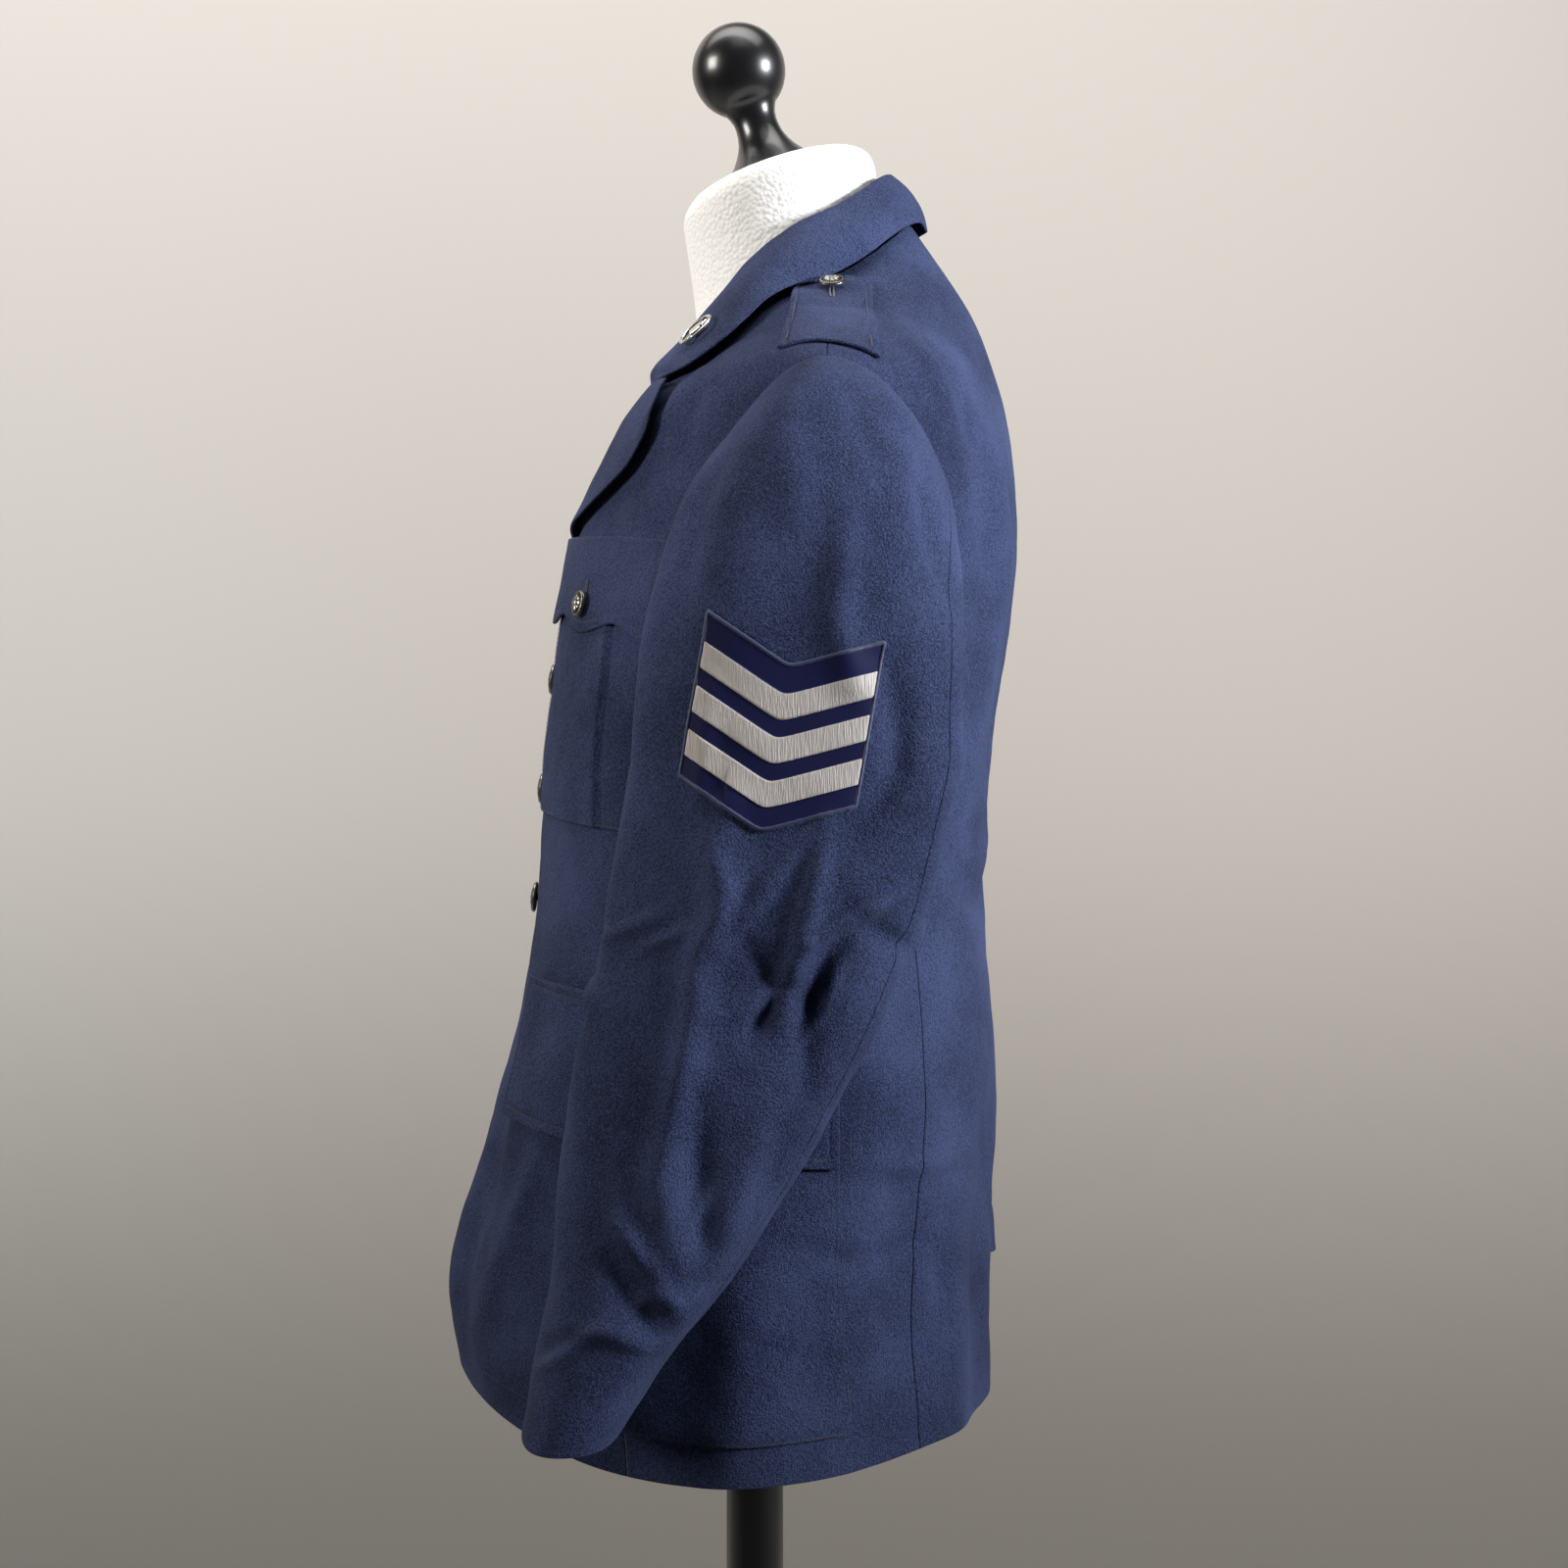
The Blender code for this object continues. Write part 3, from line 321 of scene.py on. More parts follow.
def relief(points, out, creases):
    """Height of the creases above a surface."""
    side = np.where(points[..., 0] < 0, -1.0, 1.0)
    height = unevenness(points)
    for crease in creases:
        facing = {"side": out[..., 0] * side, "front": -out[..., 1], "back": out[..., 1]}[crease.view]
        a = points[..., 1] if crease.view == "side" else points[..., 0] * side
        place = np.stack([a, points[..., 2]], -1)
        path = np.array(crease.path)
        lengths = np.linalg.norm(np.diff(path, axis=0), axis=1)
        nearest = np.full(a.shape, 9.0)
        along = np.zeros(a.shape)
        left = np.zeros(a.shape)
        for n, (start, end) in enumerate(zip(path, path[1:])):
            run = end - start
            share = np.clip((place - start) @ run / (run @ run), 0, 1)
            off = place - start - share[..., None] * run
            away = np.linalg.norm(off, axis=-1)
            nearer = away < nearest
            here = (lengths[:n].sum() + share * lengths[n]) / lengths.sum()
            along = np.where(nearer, here, along)
            left = np.where(nearer, run[0] * off[..., 1] - run[1] * off[..., 0], left)
            nearest = np.where(nearer, away, nearest)
        width = crease.width * np.where(left > 0, crease.lean, 1 / crease.lean)
        taper = np.sin(np.pi * np.clip(along, 0.06, 0.94)) ** 0.5
        bump = np.exp(-((nearest / width) ** 2)) * smooth(0.0, 0.5, facing)
        height = height + crease.height * taper * bump
    return height


def normals(surface, u, v):
    along = surface(u + 0.1, v) - surface(u - 0.1, v)
    up = surface(u, v + 0.01) - surface(u, v - 0.01)
    return unit(np.cross(along, up))


def on(surface, u, v, lift=0.0, creases=()):
    """Points a little above a creased surface, and the way out of it there."""
    points = surface(u, v)
    out = normals(surface, u, v)
    height = np.asarray(lift) + relief(points, out, creases)
    return points + out * height[..., None], out


def find(surface, guess, axes, target):
    """Where on a surface two of a point's coordinates have the wanted values."""
    axes = list(axes)
    target = np.asarray(target, float)
    u, v = (np.broadcast_to(g, target.shape[:-1]).astype(float) for g in guess)
    for _ in range(25):
        here = surface(u, v)[..., axes]
        across = (surface(u + 0.01, v)[..., axes] - here) / 0.01
        up = (surface(u, v + 0.001)[..., axes] - here) / 0.001
        step = np.linalg.solve(np.stack([across, up], -1), (target - here)[..., None])[..., 0]
        u = u + np.clip(step[..., 0], -8, 8)
        v = np.clip(v + np.clip(step[..., 1], -0.4, 0.4), 0.0, NECKLINE - 0.01)
    return np.stack([u, v], -1)


def column(rows, level, name):
    """A table's column at a level between its rows, on straight lines."""
    return np.interp(level, [row.level for row in rows], [getattr(row, name) for row in rows])


def from_front(x, z):
    target = np.stack(np.broadcast_arrays(x, z), -1)
    return find(coat, (40.0, np.where(target[..., 1] > 1.3, 9.0, 4.0)), (0, 2), target)


# Foam form: one moulding of white polystyrene with a fine bead grain, left bare.
# It fills the coat loosely, carries it along the shoulders and ends in a level cut at the neck.
FOAM_WHITE = (0.79, 0.78, 0.77, 1)
FORM_ROWS = table(
    "level at_ridge elsewhere",
    (1.30, 0.034, 0.036),
    (2.2, 0.030, 0.030),
    (3.4, 0.028, 0.024),
    (5.0, 0.032, 0.020),
    (6.5, 0.030, 0.017),
    (8.0, 0.032, 0.014),
    (9.2, 0.034, 0.012),
    (9.8, 0.030, 0.011),
    (10.2, 0.021, 0.010),
    (10.5, 0.0090, 0.008),
    (10.8, WALL + 0.0016, 0.006),
    (11.1, WALL + 0.0014, 0.006),
    (11.5, WALL + 0.0014, 0.006),
    (11.85, WALL + 0.0014, 0.005),
    (12.00, 0.006, 0.009),
)
NECK_ROWS = table(
    "radius y z lean",
    (0.0705, 0.0240, 1.530, 28),
    (0.0665, 0.0200, 1.556, 23),
    (0.0655, 0.0165, 1.580, 18),
    (0.0645, 0.0152, 1.588, 18),
    (0.0620, 0.0145, 1.5925, 18),
    (0.0580, 0.0135, 1.5958, 18),
    (0.0530, 0.0125, 1.5975, 18),
    (0.0340, 0.0115, 1.600, 18),
)
FORM_TURNS = np.radians(np.linspace(0, 360, 160, endpoint=False))

rings = []
form_levels = np.concatenate([np.linspace(1.30, 11.85, 90), [11.92, 12.0]])
for level in form_levels:
    elsewhere = column(FORM_ROWS, level, "elsewhere")
    depth = elsewhere + (column(FORM_ROWS, level, "at_ridge") - elsewhere) * np.abs(np.sin(FORM_TURNS)) ** 6
    ring, _ = on(coat, np.degrees(FORM_TURNS), level, 0.0)
    ring = ring - normals(coat, np.degrees(FORM_TURNS), level) * depth[:, None]
    rings.append(ring)
rings[0] = np.concatenate([rings[0][:, :2], np.full((len(FORM_TURNS), 1), FORM_FOOT)], 1)
neck = []
for row in NECK_ROWS:
    x = row.radius * np.sin(FORM_TURNS)
    y = row.y - row.radius * np.cos(FORM_TURNS) * np.cos(np.radians(row.lean))
    z = row.z - row.radius * np.cos(FORM_TURNS) * np.sin(np.radians(row.lean))
    neck.append(np.stack([x, y, z], -1))
neck = np.array([rings[-1]] + neck)
neck_places = np.concatenate([np.linspace(0.2, 3, 15), np.linspace(3.25, len(NECK_ROWS), 20)])
rings += list(through(neck.reshape(len(neck), -1), neck_places).reshape(len(neck_places), -1, 3))
steps = len(FORM_TURNS)


def add_node(made, kind, **sockets):
    """A node of a material, with values for its sockets by name, _ for a space."""
    node = made.node_tree.nodes.new("ShaderNode" + kind)
    for socket, value in sockets.items():
        node.inputs[socket.replace("_", " ")].default_value = value
    return node


def join(made, *links):
    """Links of a material from (node, output, node, input)."""
    for start, output, end, socket in links:
        made.node_tree.links.new(start.outputs[output], end.inputs[socket])


foam, shader = finish(
    "foam", FOAM_WHITE, 0.75, Subsurface_Weight=0.15, Subsurface_Radius=(0.004, 0.004, 0.004)
)
where = add_node(foam, "TexCoord")
beads = add_node(foam, "TexVoronoi", Scale=330)
bead_bump = add_node(foam, "Bump", Strength=0.6, Distance=0.0012)
bead_bump.invert = True
join(
    foam,
    (where, "Object", beads, "Vector"),
    (beads, "Distance", bead_bump, "Height"),
    (bead_bump, "Normal", shader, "Normal"),
)
foam_form = put("foam_form", np.concatenate(rings), capped(len(rings), steps), [foam], "form_torso")


# Fronts: dark blue worsted with a dry, slightly heathered face, cut from the shoulder to the hem in one.
# The left one laps over the right, and each is turned at its edge and rounded off at its lower corner.
WORSTED = (0.012, 0.0165, 0.042, 1)
WORSTED_LIGHT = (0.044, 0.058, 0.130, 1)
ARMHOLE_TURN = 95.0
ARMHOLE_HALF_TURN = 29.0
ARMHOLE_LEVEL = 8.5
ARMHOLE_HALF_LEVEL = 1.5
FRONT_SIDE_SEAM = 72.0
CORNER = 0.055
ROLL_LINE = table(
    "level x",
    (8.38, -LAP),  # the break, where the front edge starts to turn back
    (8.66, 0.012),
    (9.10, 0.024),
    (9.45, 0.030),
    (9.85, 0.037),
    (10.35, 0.042),
    (10.90, 0.048),
    (11.55, 0.056),
    (12.00, 0.066),
)



def multiply_add(made, factor, added=0.5):
    node = add_node(made, "Math")
    node.operation = "MULTIPLY_ADD"
    node.inputs[1].default_value = factor
    node.inputs[2].default_value = added
    return node


def mix_of(made, low, high):
    """A node that mixes two colours."""
    node = add_node(made, "Mix")
    node.data_type = "RGBA"
    node.inputs["A"].default_value = low
    node.inputs["B"].default_value = high
    return node


worsted, shader = finish(
    "worsted", WORSTED, 0.82, Specular_IOR_Level=0.08,
    Sheen_Weight=0.045, Sheen_Roughness=0.40, Sheen_Tint=(0.55, 0.62, 0.90, 1),
)
where = add_node(worsted, "TexCoord")
fibres = add_node(worsted, "TexNoise", Scale=900, Detail=3)
wear = add_node(worsted, "TexNoise", Scale=14, Detail=4)
twill = add_node(worsted, "TexNoise", Scale=380, Detail=2, Distortion=0.6)
rumples = add_node(worsted, "TexNoise", Scale=26, Detail=6, Roughness=0.62, Distortion=0.35)
faded = multiply_add(worsted, 1.8, -1.9)
shade = multiply_add(worsted, 3.0)
nap = multiply_add(worsted, 2.2)
heather = mix_of(worsted, WORSTED, WORSTED_LIGHT)
rumple_bump = add_node(worsted, "Bump", Strength=0.60, Distance=0.0036)
weave_bump = add_node(worsted, "Bump", Strength=0.55, Distance=0.0009)
join(worsted, *((where, "Object", texture, "Vector") for texture in (fibres, wear, twill, rumples)))
join(
    worsted,
    (wear, "Fac", faded, 0),
    (fibres, "Fac", shade, 0),
    (faded, "Value", shade, 2),
    (shade, "Value", heather, "Factor"),
    (heather, "Result", shader, "Base Color"),
    (rumples, "Fac", rumple_bump, "Height"),
    (rumple_bump, "Normal", weave_bump, "Normal"),
    (fibres, "Fac", nap, 0),
    (twill, "Fac", nap, 2),
    (nap, "Value", weave_bump, "Height"),
    (weave_bump, "Normal", shader, "Normal"),
)

SIDES = (("left", BODY_CREASES, False), ("right", RIGHT_BODY_CREASES, True))
CLOSE = (0.0, 0.0003, 0.0007, 0.0012, 0.0020)  # grid lines near an edge
TURNED_EDGE = 0.0011  # how far in the cloth's rounding reaches
STITCH_IN = 0.0060  # from a turned edge to its row of stitches
NEAR_STITCHES = CLOSE + (0.0046, 0.0053, 0.0060, 0.0067, 0.0074)


def shares(length, step, marks=CLOSE):
    """Shares of a length about a step apart, with extra lines at set distances from both ends."""
    near = np.array(marks) / length
    fixed = np.concatenate([near, 1 - near])
    loose = np.linspace(0, 1, int(round(length / step)) + 1)
    clear = np.abs(loose[:, None] - fixed[None, :]).min(1) > 0.45 * step / length
    lines = np.sort(np.concatenate([fixed, loose[clear]]))
    if len(lines) % 2 == 0:
        widest = int(np.argmax(np.diff(lines)))
        lines = np.insert(lines, widest + 1, (lines[widest] + lines[widest + 1]) / 2)
    return lines


def distances(points):
    """Distance of each grid point from the grid's four sides, measured over the cloth."""
    up = np.linalg.norm(np.diff(points, axis=0), axis=-1)
    along = np.linalg.norm(np.diff(points, axis=1), axis=-1)
    low = np.concatenate([np.zeros((1, points.shape[1])), np.cumsum(up, 0)])
    left = np.concatenate([np.zeros((points.shape[0], 1)), np.cumsum(along, 1)], 1)
    return {"low": low, "high": low[-1] - low, "left": left, "right": left[:, -1:] - left}


def quads_and_edge(index):
    """Faces over a grid of point numbers, and the numbers round its edge."""
    quads = np.stack([index[:-1, :-1], index[:-1, 1:], index[1:, 1:], index[1:, :-1]], -1).reshape(-1, 4)
    edge = np.concatenate([index[0], index[1:, -1], index[-1, -2::-1], index[-2:0:-1, 0]])
    return quads.tolist(), edge.tolist()


def cloth(node, points, out, low, high, flat, area, held="hung", rests_on=("foam_form",), **more):
    """A wall of cloth from the height low to the height high over a grid, rounded over at its rim.
    The inner side takes every second grid line."""
    stitched = more.get("stitched", ())
    away = distances(points)
    rim = np.minimum.reduce(list(away.values()))
    fold = np.clip(rim / TURNED_EDGE, 0, 1)
    swell = 0.25 + 0.75 * np.sqrt(1 - (1 - fold) ** 2)
    middle = (np.asarray(low) + np.asarray(high)) / 2
    half = (np.asarray(high) - np.asarray(low)) / 2
    sunk = np.zeros(rim.shape)
    for inset in more.get("insets", (STITCH_IN,)):
        for side in stitched:
            others = [away[s] for s in stitched if s != side]
            inside = np.minimum.reduce(others) > inset
            sunk = np.maximum(sunk, 0.0005 * np.exp(-(((away[side] - inset) / 0.0009) ** 2)) * inside)
    outer = points + out * (middle + half * swell - sunk)[..., None]
    inner = (points + out * (middle - half * swell)[..., None])[::2, ::2]
    rows, columns = outer.shape[:2]
    faces, around = quads_and_edge(np.arange(rows * columns).reshape(rows, columns))
    inside = rows * columns + np.arange(inner.shape[0] * inner.shape[1]).reshape(inner.shape[:2])
    backs, under = quads_and_edge(inside)
    faces += turned_over(backs)
    for k in range(len(under)):
        a, b, c = around[2 * k], around[2 * k + 1], around[(2 * k + 2) % len(around)]
        faces.append([a, under[k], under[(k + 1) % len(under)], c, b])
    points = np.concatenate([outer.reshape(-1, 3), inner.reshape(-1, 3)])
    name = more.get("name", "coat_" + node)
    piece = put(name, points, faces, [worsted], node, more.get("mirrored", False), sharp=180)
    return piece


def degrees_of(gap, level):
    return np.degrees(gap / through(COAT_LEVELS, level)[..., 3])


def turn_at(x, level):
    row = np.moveaxis(through(COAT_LEVELS, level), -1, 0)
    return np.sign(x) * np.degrees(np.arcsin(np.clip(np.abs(x) / row[3], 0, 1) ** (1 / row[6])))


def armhole_half_turn(level):
    away = (level - ARMHOLE_LEVEL) / ARMHOLE_HALF_LEVEL
    return ARMHOLE_HALF_TURN * np.sqrt(np.clip(1 - away**2, 0, 1))


def meeting_level(turn):
    """The level at which a side seam runs into the armhole."""
    away = (turn - ARMHOLE_TURN) / ARMHOLE_HALF_TURN
    return ARMHOLE_LEVEL - ARMHOLE_HALF_LEVEL * np.sqrt(1 - away**2)


def roll_x(level):
    return column(ROLL_LINE, level, "x")


def levels_between(stops, steps):
    """Levels with extra lines at each stop, an odd count of them."""
    parts = [np.linspace(a, b, n, endpoint=False) for a, b, n in zip(stops, stops[1:], steps)]
    made = np.append(np.concatenate(parts), stops[-1])
    made = np.sort(np.concatenate([made, [0.006, 0.016, 0.030, stops[-1] - 0.03, stops[-1] - 0.012]]))
    if len(made) % 2 == 0:
        made = np.insert(made, len(made) - 4, (made[-4] + made[-5]) / 2)
    return made


FRONT_MEETS = float(meeting_level(FRONT_SIDE_SEAM))
front_levels = levels_between((0, FRONT_MEETS, SHOULDER_TIP, NECKLINE), (150, 60, 46))
outer_turn = np.where(
    front_levels <= FRONT_MEETS,
    FRONT_SIDE_SEAM,
    np.where(front_levels < SHOULDER_TIP, ARMHOLE_TURN - armhole_half_turn(front_levels), ARMHOLE_TURN),
)
outer_turn = outer_turn - degrees_of(GAP / 2, front_levels)
edge_turn = turn_at(roll_x(front_levels), front_levels)
front_turn = edge_turn[:, None] + (outer_turn - edge_turn)[:, None] * shares(0.26, 0.0030)
front_level = front_levels[:, None] + 0 * front_turn
from_edge = np.clip(coat(front_turn, front_level)[..., 0] + LAP, 0, CORNER)
rise = 0.95 * (1 - np.sqrt(1 - (1 - from_edge / CORNER) ** 2))
front_level = np.where(front_level < 1, front_level + (1 - front_level) * rise, front_level)

points, out = on(coat, front_turn, front_level, 0.0, BODY_CREASES)
cloth("front_left", points, out, -WALL, 0.0, (0.30, 0.71), 0.162)
points, out = on(coat, front_turn, front_level, 0.0, RIGHT_BODY_CREASES)
shift = 1 - smooth(LAP + 0.002, LAP + 0.025, coat(front_turn, front_level)[..., 0])
shift = (WALL + 3 * LIE) * shift * (1 - smooth(8.5, 9.2, front_level))
cloth("front_right", points, out, -WALL - shift, -shift, (0.30, 0.71), 0.162, mirrored=True)


# Side panels: one under each arm, between the front and the back, sewn in and pressed open.
# Each runs from the hem up into the armhole.
BACK_SIDE_SEAM = table("level turn", (0, 134), (2, 132), (5, 126), (7.658, 119))
BACK_MEETS = BACK_SIDE_SEAM[-1].level


def back_side_seam(level):
    return column(BACK_SIDE_SEAM, level, "turn")


side_rows = shares(0.46, 0.0034)
side_columns = shares(0.17, 0.0030)
seam_level = np.outer(side_rows, FRONT_MEETS + (BACK_MEETS - FRONT_MEETS) * side_columns)
low_turn = FRONT_SIDE_SEAM + degrees_of(GAP / 2, seam_level[:, 0])
high_turn = back_side_seam(seam_level[:, -1]) - degrees_of(GAP / 2, seam_level[:, -1])
side_turn = low_turn[:, None] + (high_turn - low_turn)[:, None] * side_columns
side_top = meeting_level(np.clip(side_turn[-1], FRONT_SIDE_SEAM, BACK_SIDE_SEAM[-1].turn)) - 0.008
side_level = np.outer(side_rows, side_top)
side_level[:, 0] = seam_level[:, 0]
side_level[:, -1] = seam_level[:, -1]
for side, creases, mirrored in SIDES:
    points, out = on(coat, side_turn, side_level, 0.0, creases)
    cloth("side_" + side, points, out, -WALL, 0.0, (0.20, 0.51), 0.0775, mirrored=mirrored)


# Backs: two panels joined down the centre with a plain seam, shaped at the waist and over the shoulders.
back_levels = levels_between((0, BACK_MEETS, SHOULDER_TIP, NECKLINE), (150, 60, 46))
seam_turn = np.where(
    back_levels <= BACK_MEETS,
    back_side_seam(back_levels),
    np.where(back_levels < SHOULDER_TIP, ARMHOLE_TURN + armhole_half_turn(back_levels), ARMHOLE_TURN),
)
low_turn = seam_turn + degrees_of(GAP / 2, back_levels)
high_turn = 180 - degrees_of(GAP, back_levels)
back_turn = low_turn[:, None] + (high_turn - low_turn)[:, None] * shares(0.18, 0.0030)
back_level = back_levels[:, None] + 0 * back_turn
for side, creases, mirrored in SIDES:
    points, out = on(coat, back_turn, back_level, 0.0, creases)
    cloth("back_" + side, points, out, -WALL, 0.0, (0.25, 0.77), 0.1355, mirrored=mirrored)


# Lapels: the fronts' own cloth turned back at the roll line, with a facing, and pressed lightly.
# Their outer edges stand a little off the chest and throw a dark line on it.
LAPEL = table(
    "roll_level edge_x edge_z",
    (8.60, 0.018, 1.3570),
    (8.80, 0.058, 1.3620),
    (9.20, 0.106, 1.3725),
    (9.65, 0.137, 1.3865),
    (10.10, 0.150, 1.4010),
    (10.50, 0.151, 1.4170),
    (10.90, 0.139, 1.4370),
)
LAPEL_LIFT = 0.0056


def lapel_places(rows, columns):
    """Turns, levels and heights over the front: rows up the roll, columns out to the edge."""
    row = through(LAPEL, rows)
    start = np.stack([turn_at(roll_x(row[:, 0]), row[:, 0]), row[:, 0]], -1)
    end = from_front(row[:, 1], row[:, 2])
    line = start[:, None] + (end - start)[:, None] * columns[:, None]
    opened = smooth(0.0, 1.2, rows)[:, None]
    lift = LIE + (0.0006 * columns + (LAPEL_LIFT - 0.0006) * smooth(0, 1.0, columns) * opened)
    return line[..., 0], line[..., 1], lift


def rolled(points, out, radius, steps=7):
    """The grid with its first column rolled over to the inside."""
    away = points[:, 0] - points[:, 1]
    away = unit(away - out[:, 0] * (away * out[:, 0]).sum(-1, keepdims=True))
    angles = np.radians(np.linspace(-75, 80, steps))[:, None]
    ways = np.cos(angles) * away[:, None] + np.sin(angles) * out[:, None, 0]
    curl = points[:, None, 0] - radius * out[:, None, 0] + radius * ways
    return np.concatenate([curl, points], 1), np.concatenate([ways, out], 1)


lapel_rows = 6.0 * shares(6.0, 0.09, (0, 0.02, 0.05, 0.09))
lapel_columns = shares(0.09, 0.0020)
lapel_turn, lapel_level, lapel_lift = lapel_places(lapel_rows, lapel_columns)
for side, creases, mirrored in SIDES:
    points, out = on(coat, lapel_turn, lapel_level, lapel_lift + WALL / 2, creases)
    points, out = rolled(points, out, 0.0013, 8)
    cloth(
        "lapel_" + side, points, out, -WALL / 2, WALL / 2, (0.125, 0.150), 0.0113,
        held="folded", rests_on=("coat_front_" + side,), mirrored=mirrored,
    )


# Collar: an under collar and a top collar of worsted, pressed over at the roll. The leaf falls to its
# edge over the shoulders and meets the lapels at the notches, and the stand rises from the neckline.
NOTCH_SHARE = 0.66  # the collar meets the lapel's top edge over this share of it
LEAF_LIFT = 0.0075
COLLAR = table(
    "roll_x roll_y roll_z edge_x edge_y",
    (0.054, -0.0640, 1.4635, 0.143, -0.0365),
    (0.062, -0.039, 1.488, 0.147, -0.022),
    (0.074, -0.008, 1.523, 0.131, -0.001),
    (0.078, 0.012, 1.539, 0.108, 0.020),
    (0.077, 0.032, 1.552, 0.092, 0.047),
    (0.068, 0.053, 1.564, 0.077, 0.068),
    (0.052, 0.072, 1.579, 0.058, 0.083),
    (0.027, 0.086, 1.593, 0.030, 0.098),
    (0.000, 0.091, 1.598, 0.000, 0.106),
)
COLLAR_PLACES = np.linspace(0, len(COLLAR) - 1, 13)


def from_above(x, y):
    target = np.stack(np.broadcast_arrays(x, y), -1)
    guess = 90 + 500 * (target[..., 1] - 0.04), 11.8 - 8 * target[..., 0]
    return find(coat, guess, (0, 1), target)


def collar_rows(columns):
    """The leaf's outer points: rows from the notch round to the centre back, columns from roll to edge."""
    turn, level, lift = lapel_places(np.array([len(LAPEL) - 1.0]), columns * NOTCH_SHARE)
    first, _ = on(coat, turn[0], level[0] + 0.045, lift[0] + WALL)
    rows = [first]
    for row in through(COLLAR, COLLAR_PLACES):
        roll = row[:3]
        edge, _ = on(coat, *from_above(row[3], row[4]), LEAF_LIFT)
        straight = roll + (edge - roll) * columns[:, None]
        away = unit(np.array([roll[0], roll[1] - 0.02, 0.0]))
        rows.append(straight + 0.004 * np.sin(np.pi * columns)[:, None] * (away + np.array([0, 0, 0.5])))
    return np.array(rows)


def whole_round(half):
    """Left half, centre back and right half of rows that end at the centre back."""
    return np.concatenate([half, half[-2::-1] * np.array([-1, 1, 1])])


def grid_out(points):
    along = np.gradient(points, axis=0)
    across = np.gradient(points, axis=1)
    out = unit(np.cross(across, along))
    return out if out[len(out) // 2, :, 1].mean() > 0 else -out


leaf_columns = shares(0.055, 0.0020)
leaf_control = collar_rows(leaf_columns)
leaf_places = shares(0.24, 0.0022) * (len(leaf_control) - 1)
leaf_half = through(leaf_control.reshape(len(leaf_control), -1), leaf_places)
leaf_half = leaf_half.reshape(len(leaf_places), -1, 3)
leaf_out = grid_out(whole_round(leaf_half))
leaf = whole_round(leaf_half) + leaf_out * (unevenness(whole_round(leaf_half))[..., None] - WALL / 2)
points, out = rolled(leaf, leaf_out, 0.0013, 8)
cloth(
    "collar_leaf", points, out, -WALL / 2, WALL / 2, (0.52, 0.085), 0.031,
    held="folded", rests_on=("coat_front_left", "coat_front_right", "coat_back_left", "coat_back_right"),
)

neck = COAT_LEVELS[-1]
stand_places = COLLAR_PLACES[3] + (len(COLLAR) - 1 - COLLAR_PLACES[3]) * shares(0.19, 0.0025)
stand_rolls = through(COLLAR, stand_places)[:, :3]
middle = (neck.y_front + neck.y_back) / 2
reach = (neck.y_back - neck.y_front) / 2
stand_turns = np.arctan2(stand_rolls[:, 0] / neck.half_width, (stand_rolls[:, 1] - middle) / -reach)
inward = unit(np.stack([-stand_rolls[:, 0], 0.02 - stand_rolls[:, 1], 0 * stand_rolls[:, 0]], -1))
stand_foot = coat(np.degrees(stand_turns), NECKLINE) + inward * 0.0026 + np.array([0, 0, -0.0030])
stand_top = stand_rolls + inward * 0.0030 + np.array([0, 0, -0.0015])
stand_grid = stand_foot[:, None] + (stand_top - stand_foot)[:, None] * shares(0.035, 0.0030)[:, None]
inward = whole_round(inward)
stand_out = np.repeat(-inward[:, None], stand_grid.shape[1], 1)
cloth(
    "collar_stand", whole_round(stand_grid), stand_out, -WALL, 0.0, (0.40, 0.036), 0.0114,
    rests_on=("coat_back_left", "coat_back_right"),
)


# Sleeves: a top and an under piece each, seamed at the front and at the back, where the seam bends at the
# elbow. The cap is eased into the armhole; the plain cuffs are turned up inside. A place on a sleeve is an
# angle round it and a length down it: 0 at the armhole, 1 at the first row, then one a row.
LEFT_SLEEVE = table(
    "z y_front y_back x_in x_out",
    (1.215, -0.064, 0.117, 0.204, 0.286),
    (1.150, -0.076, 0.102, 0.202, 0.288),
    (1.095, -0.085, 0.082, 0.202, 0.289),
    (1.042, -0.097, 0.056, 0.204, 0.291),
    (0.989, -0.104, 0.027, 0.203, 0.294),
    (0.936, -0.108, -0.008, 0.202, 0.299),
    (0.890, -0.117, -0.044, 0.197, 0.302),
    (0.850, -0.124, -0.070, 0.193, 0.303),
)
RIGHT_SLEEVE = table(
    "z y_front y_back x_in x_out",
    (1.215, -0.062, 0.117, 0.204, 0.286),
    (1.150, -0.060, 0.112, 0.202, 0.287),
    (1.095, -0.050, 0.112, 0.203, 0.287),
    (1.042, -0.034, 0.122, 0.204, 0.284),
    (0.989, -0.010, 0.140, 0.206, 0.281),
    (0.936, 0.018, 0.160, 0.207, 0.276),
    (0.890, 0.040, 0.175, 0.208, 0.272),
    (0.850, 0.050, 0.180, 0.208, 0.269),
)
FRONT_SLEEVE_SEAM = 118.0  # degrees round the sleeve from its outer side, over the front
BACK_SLEEVE_SEAM = -64.0
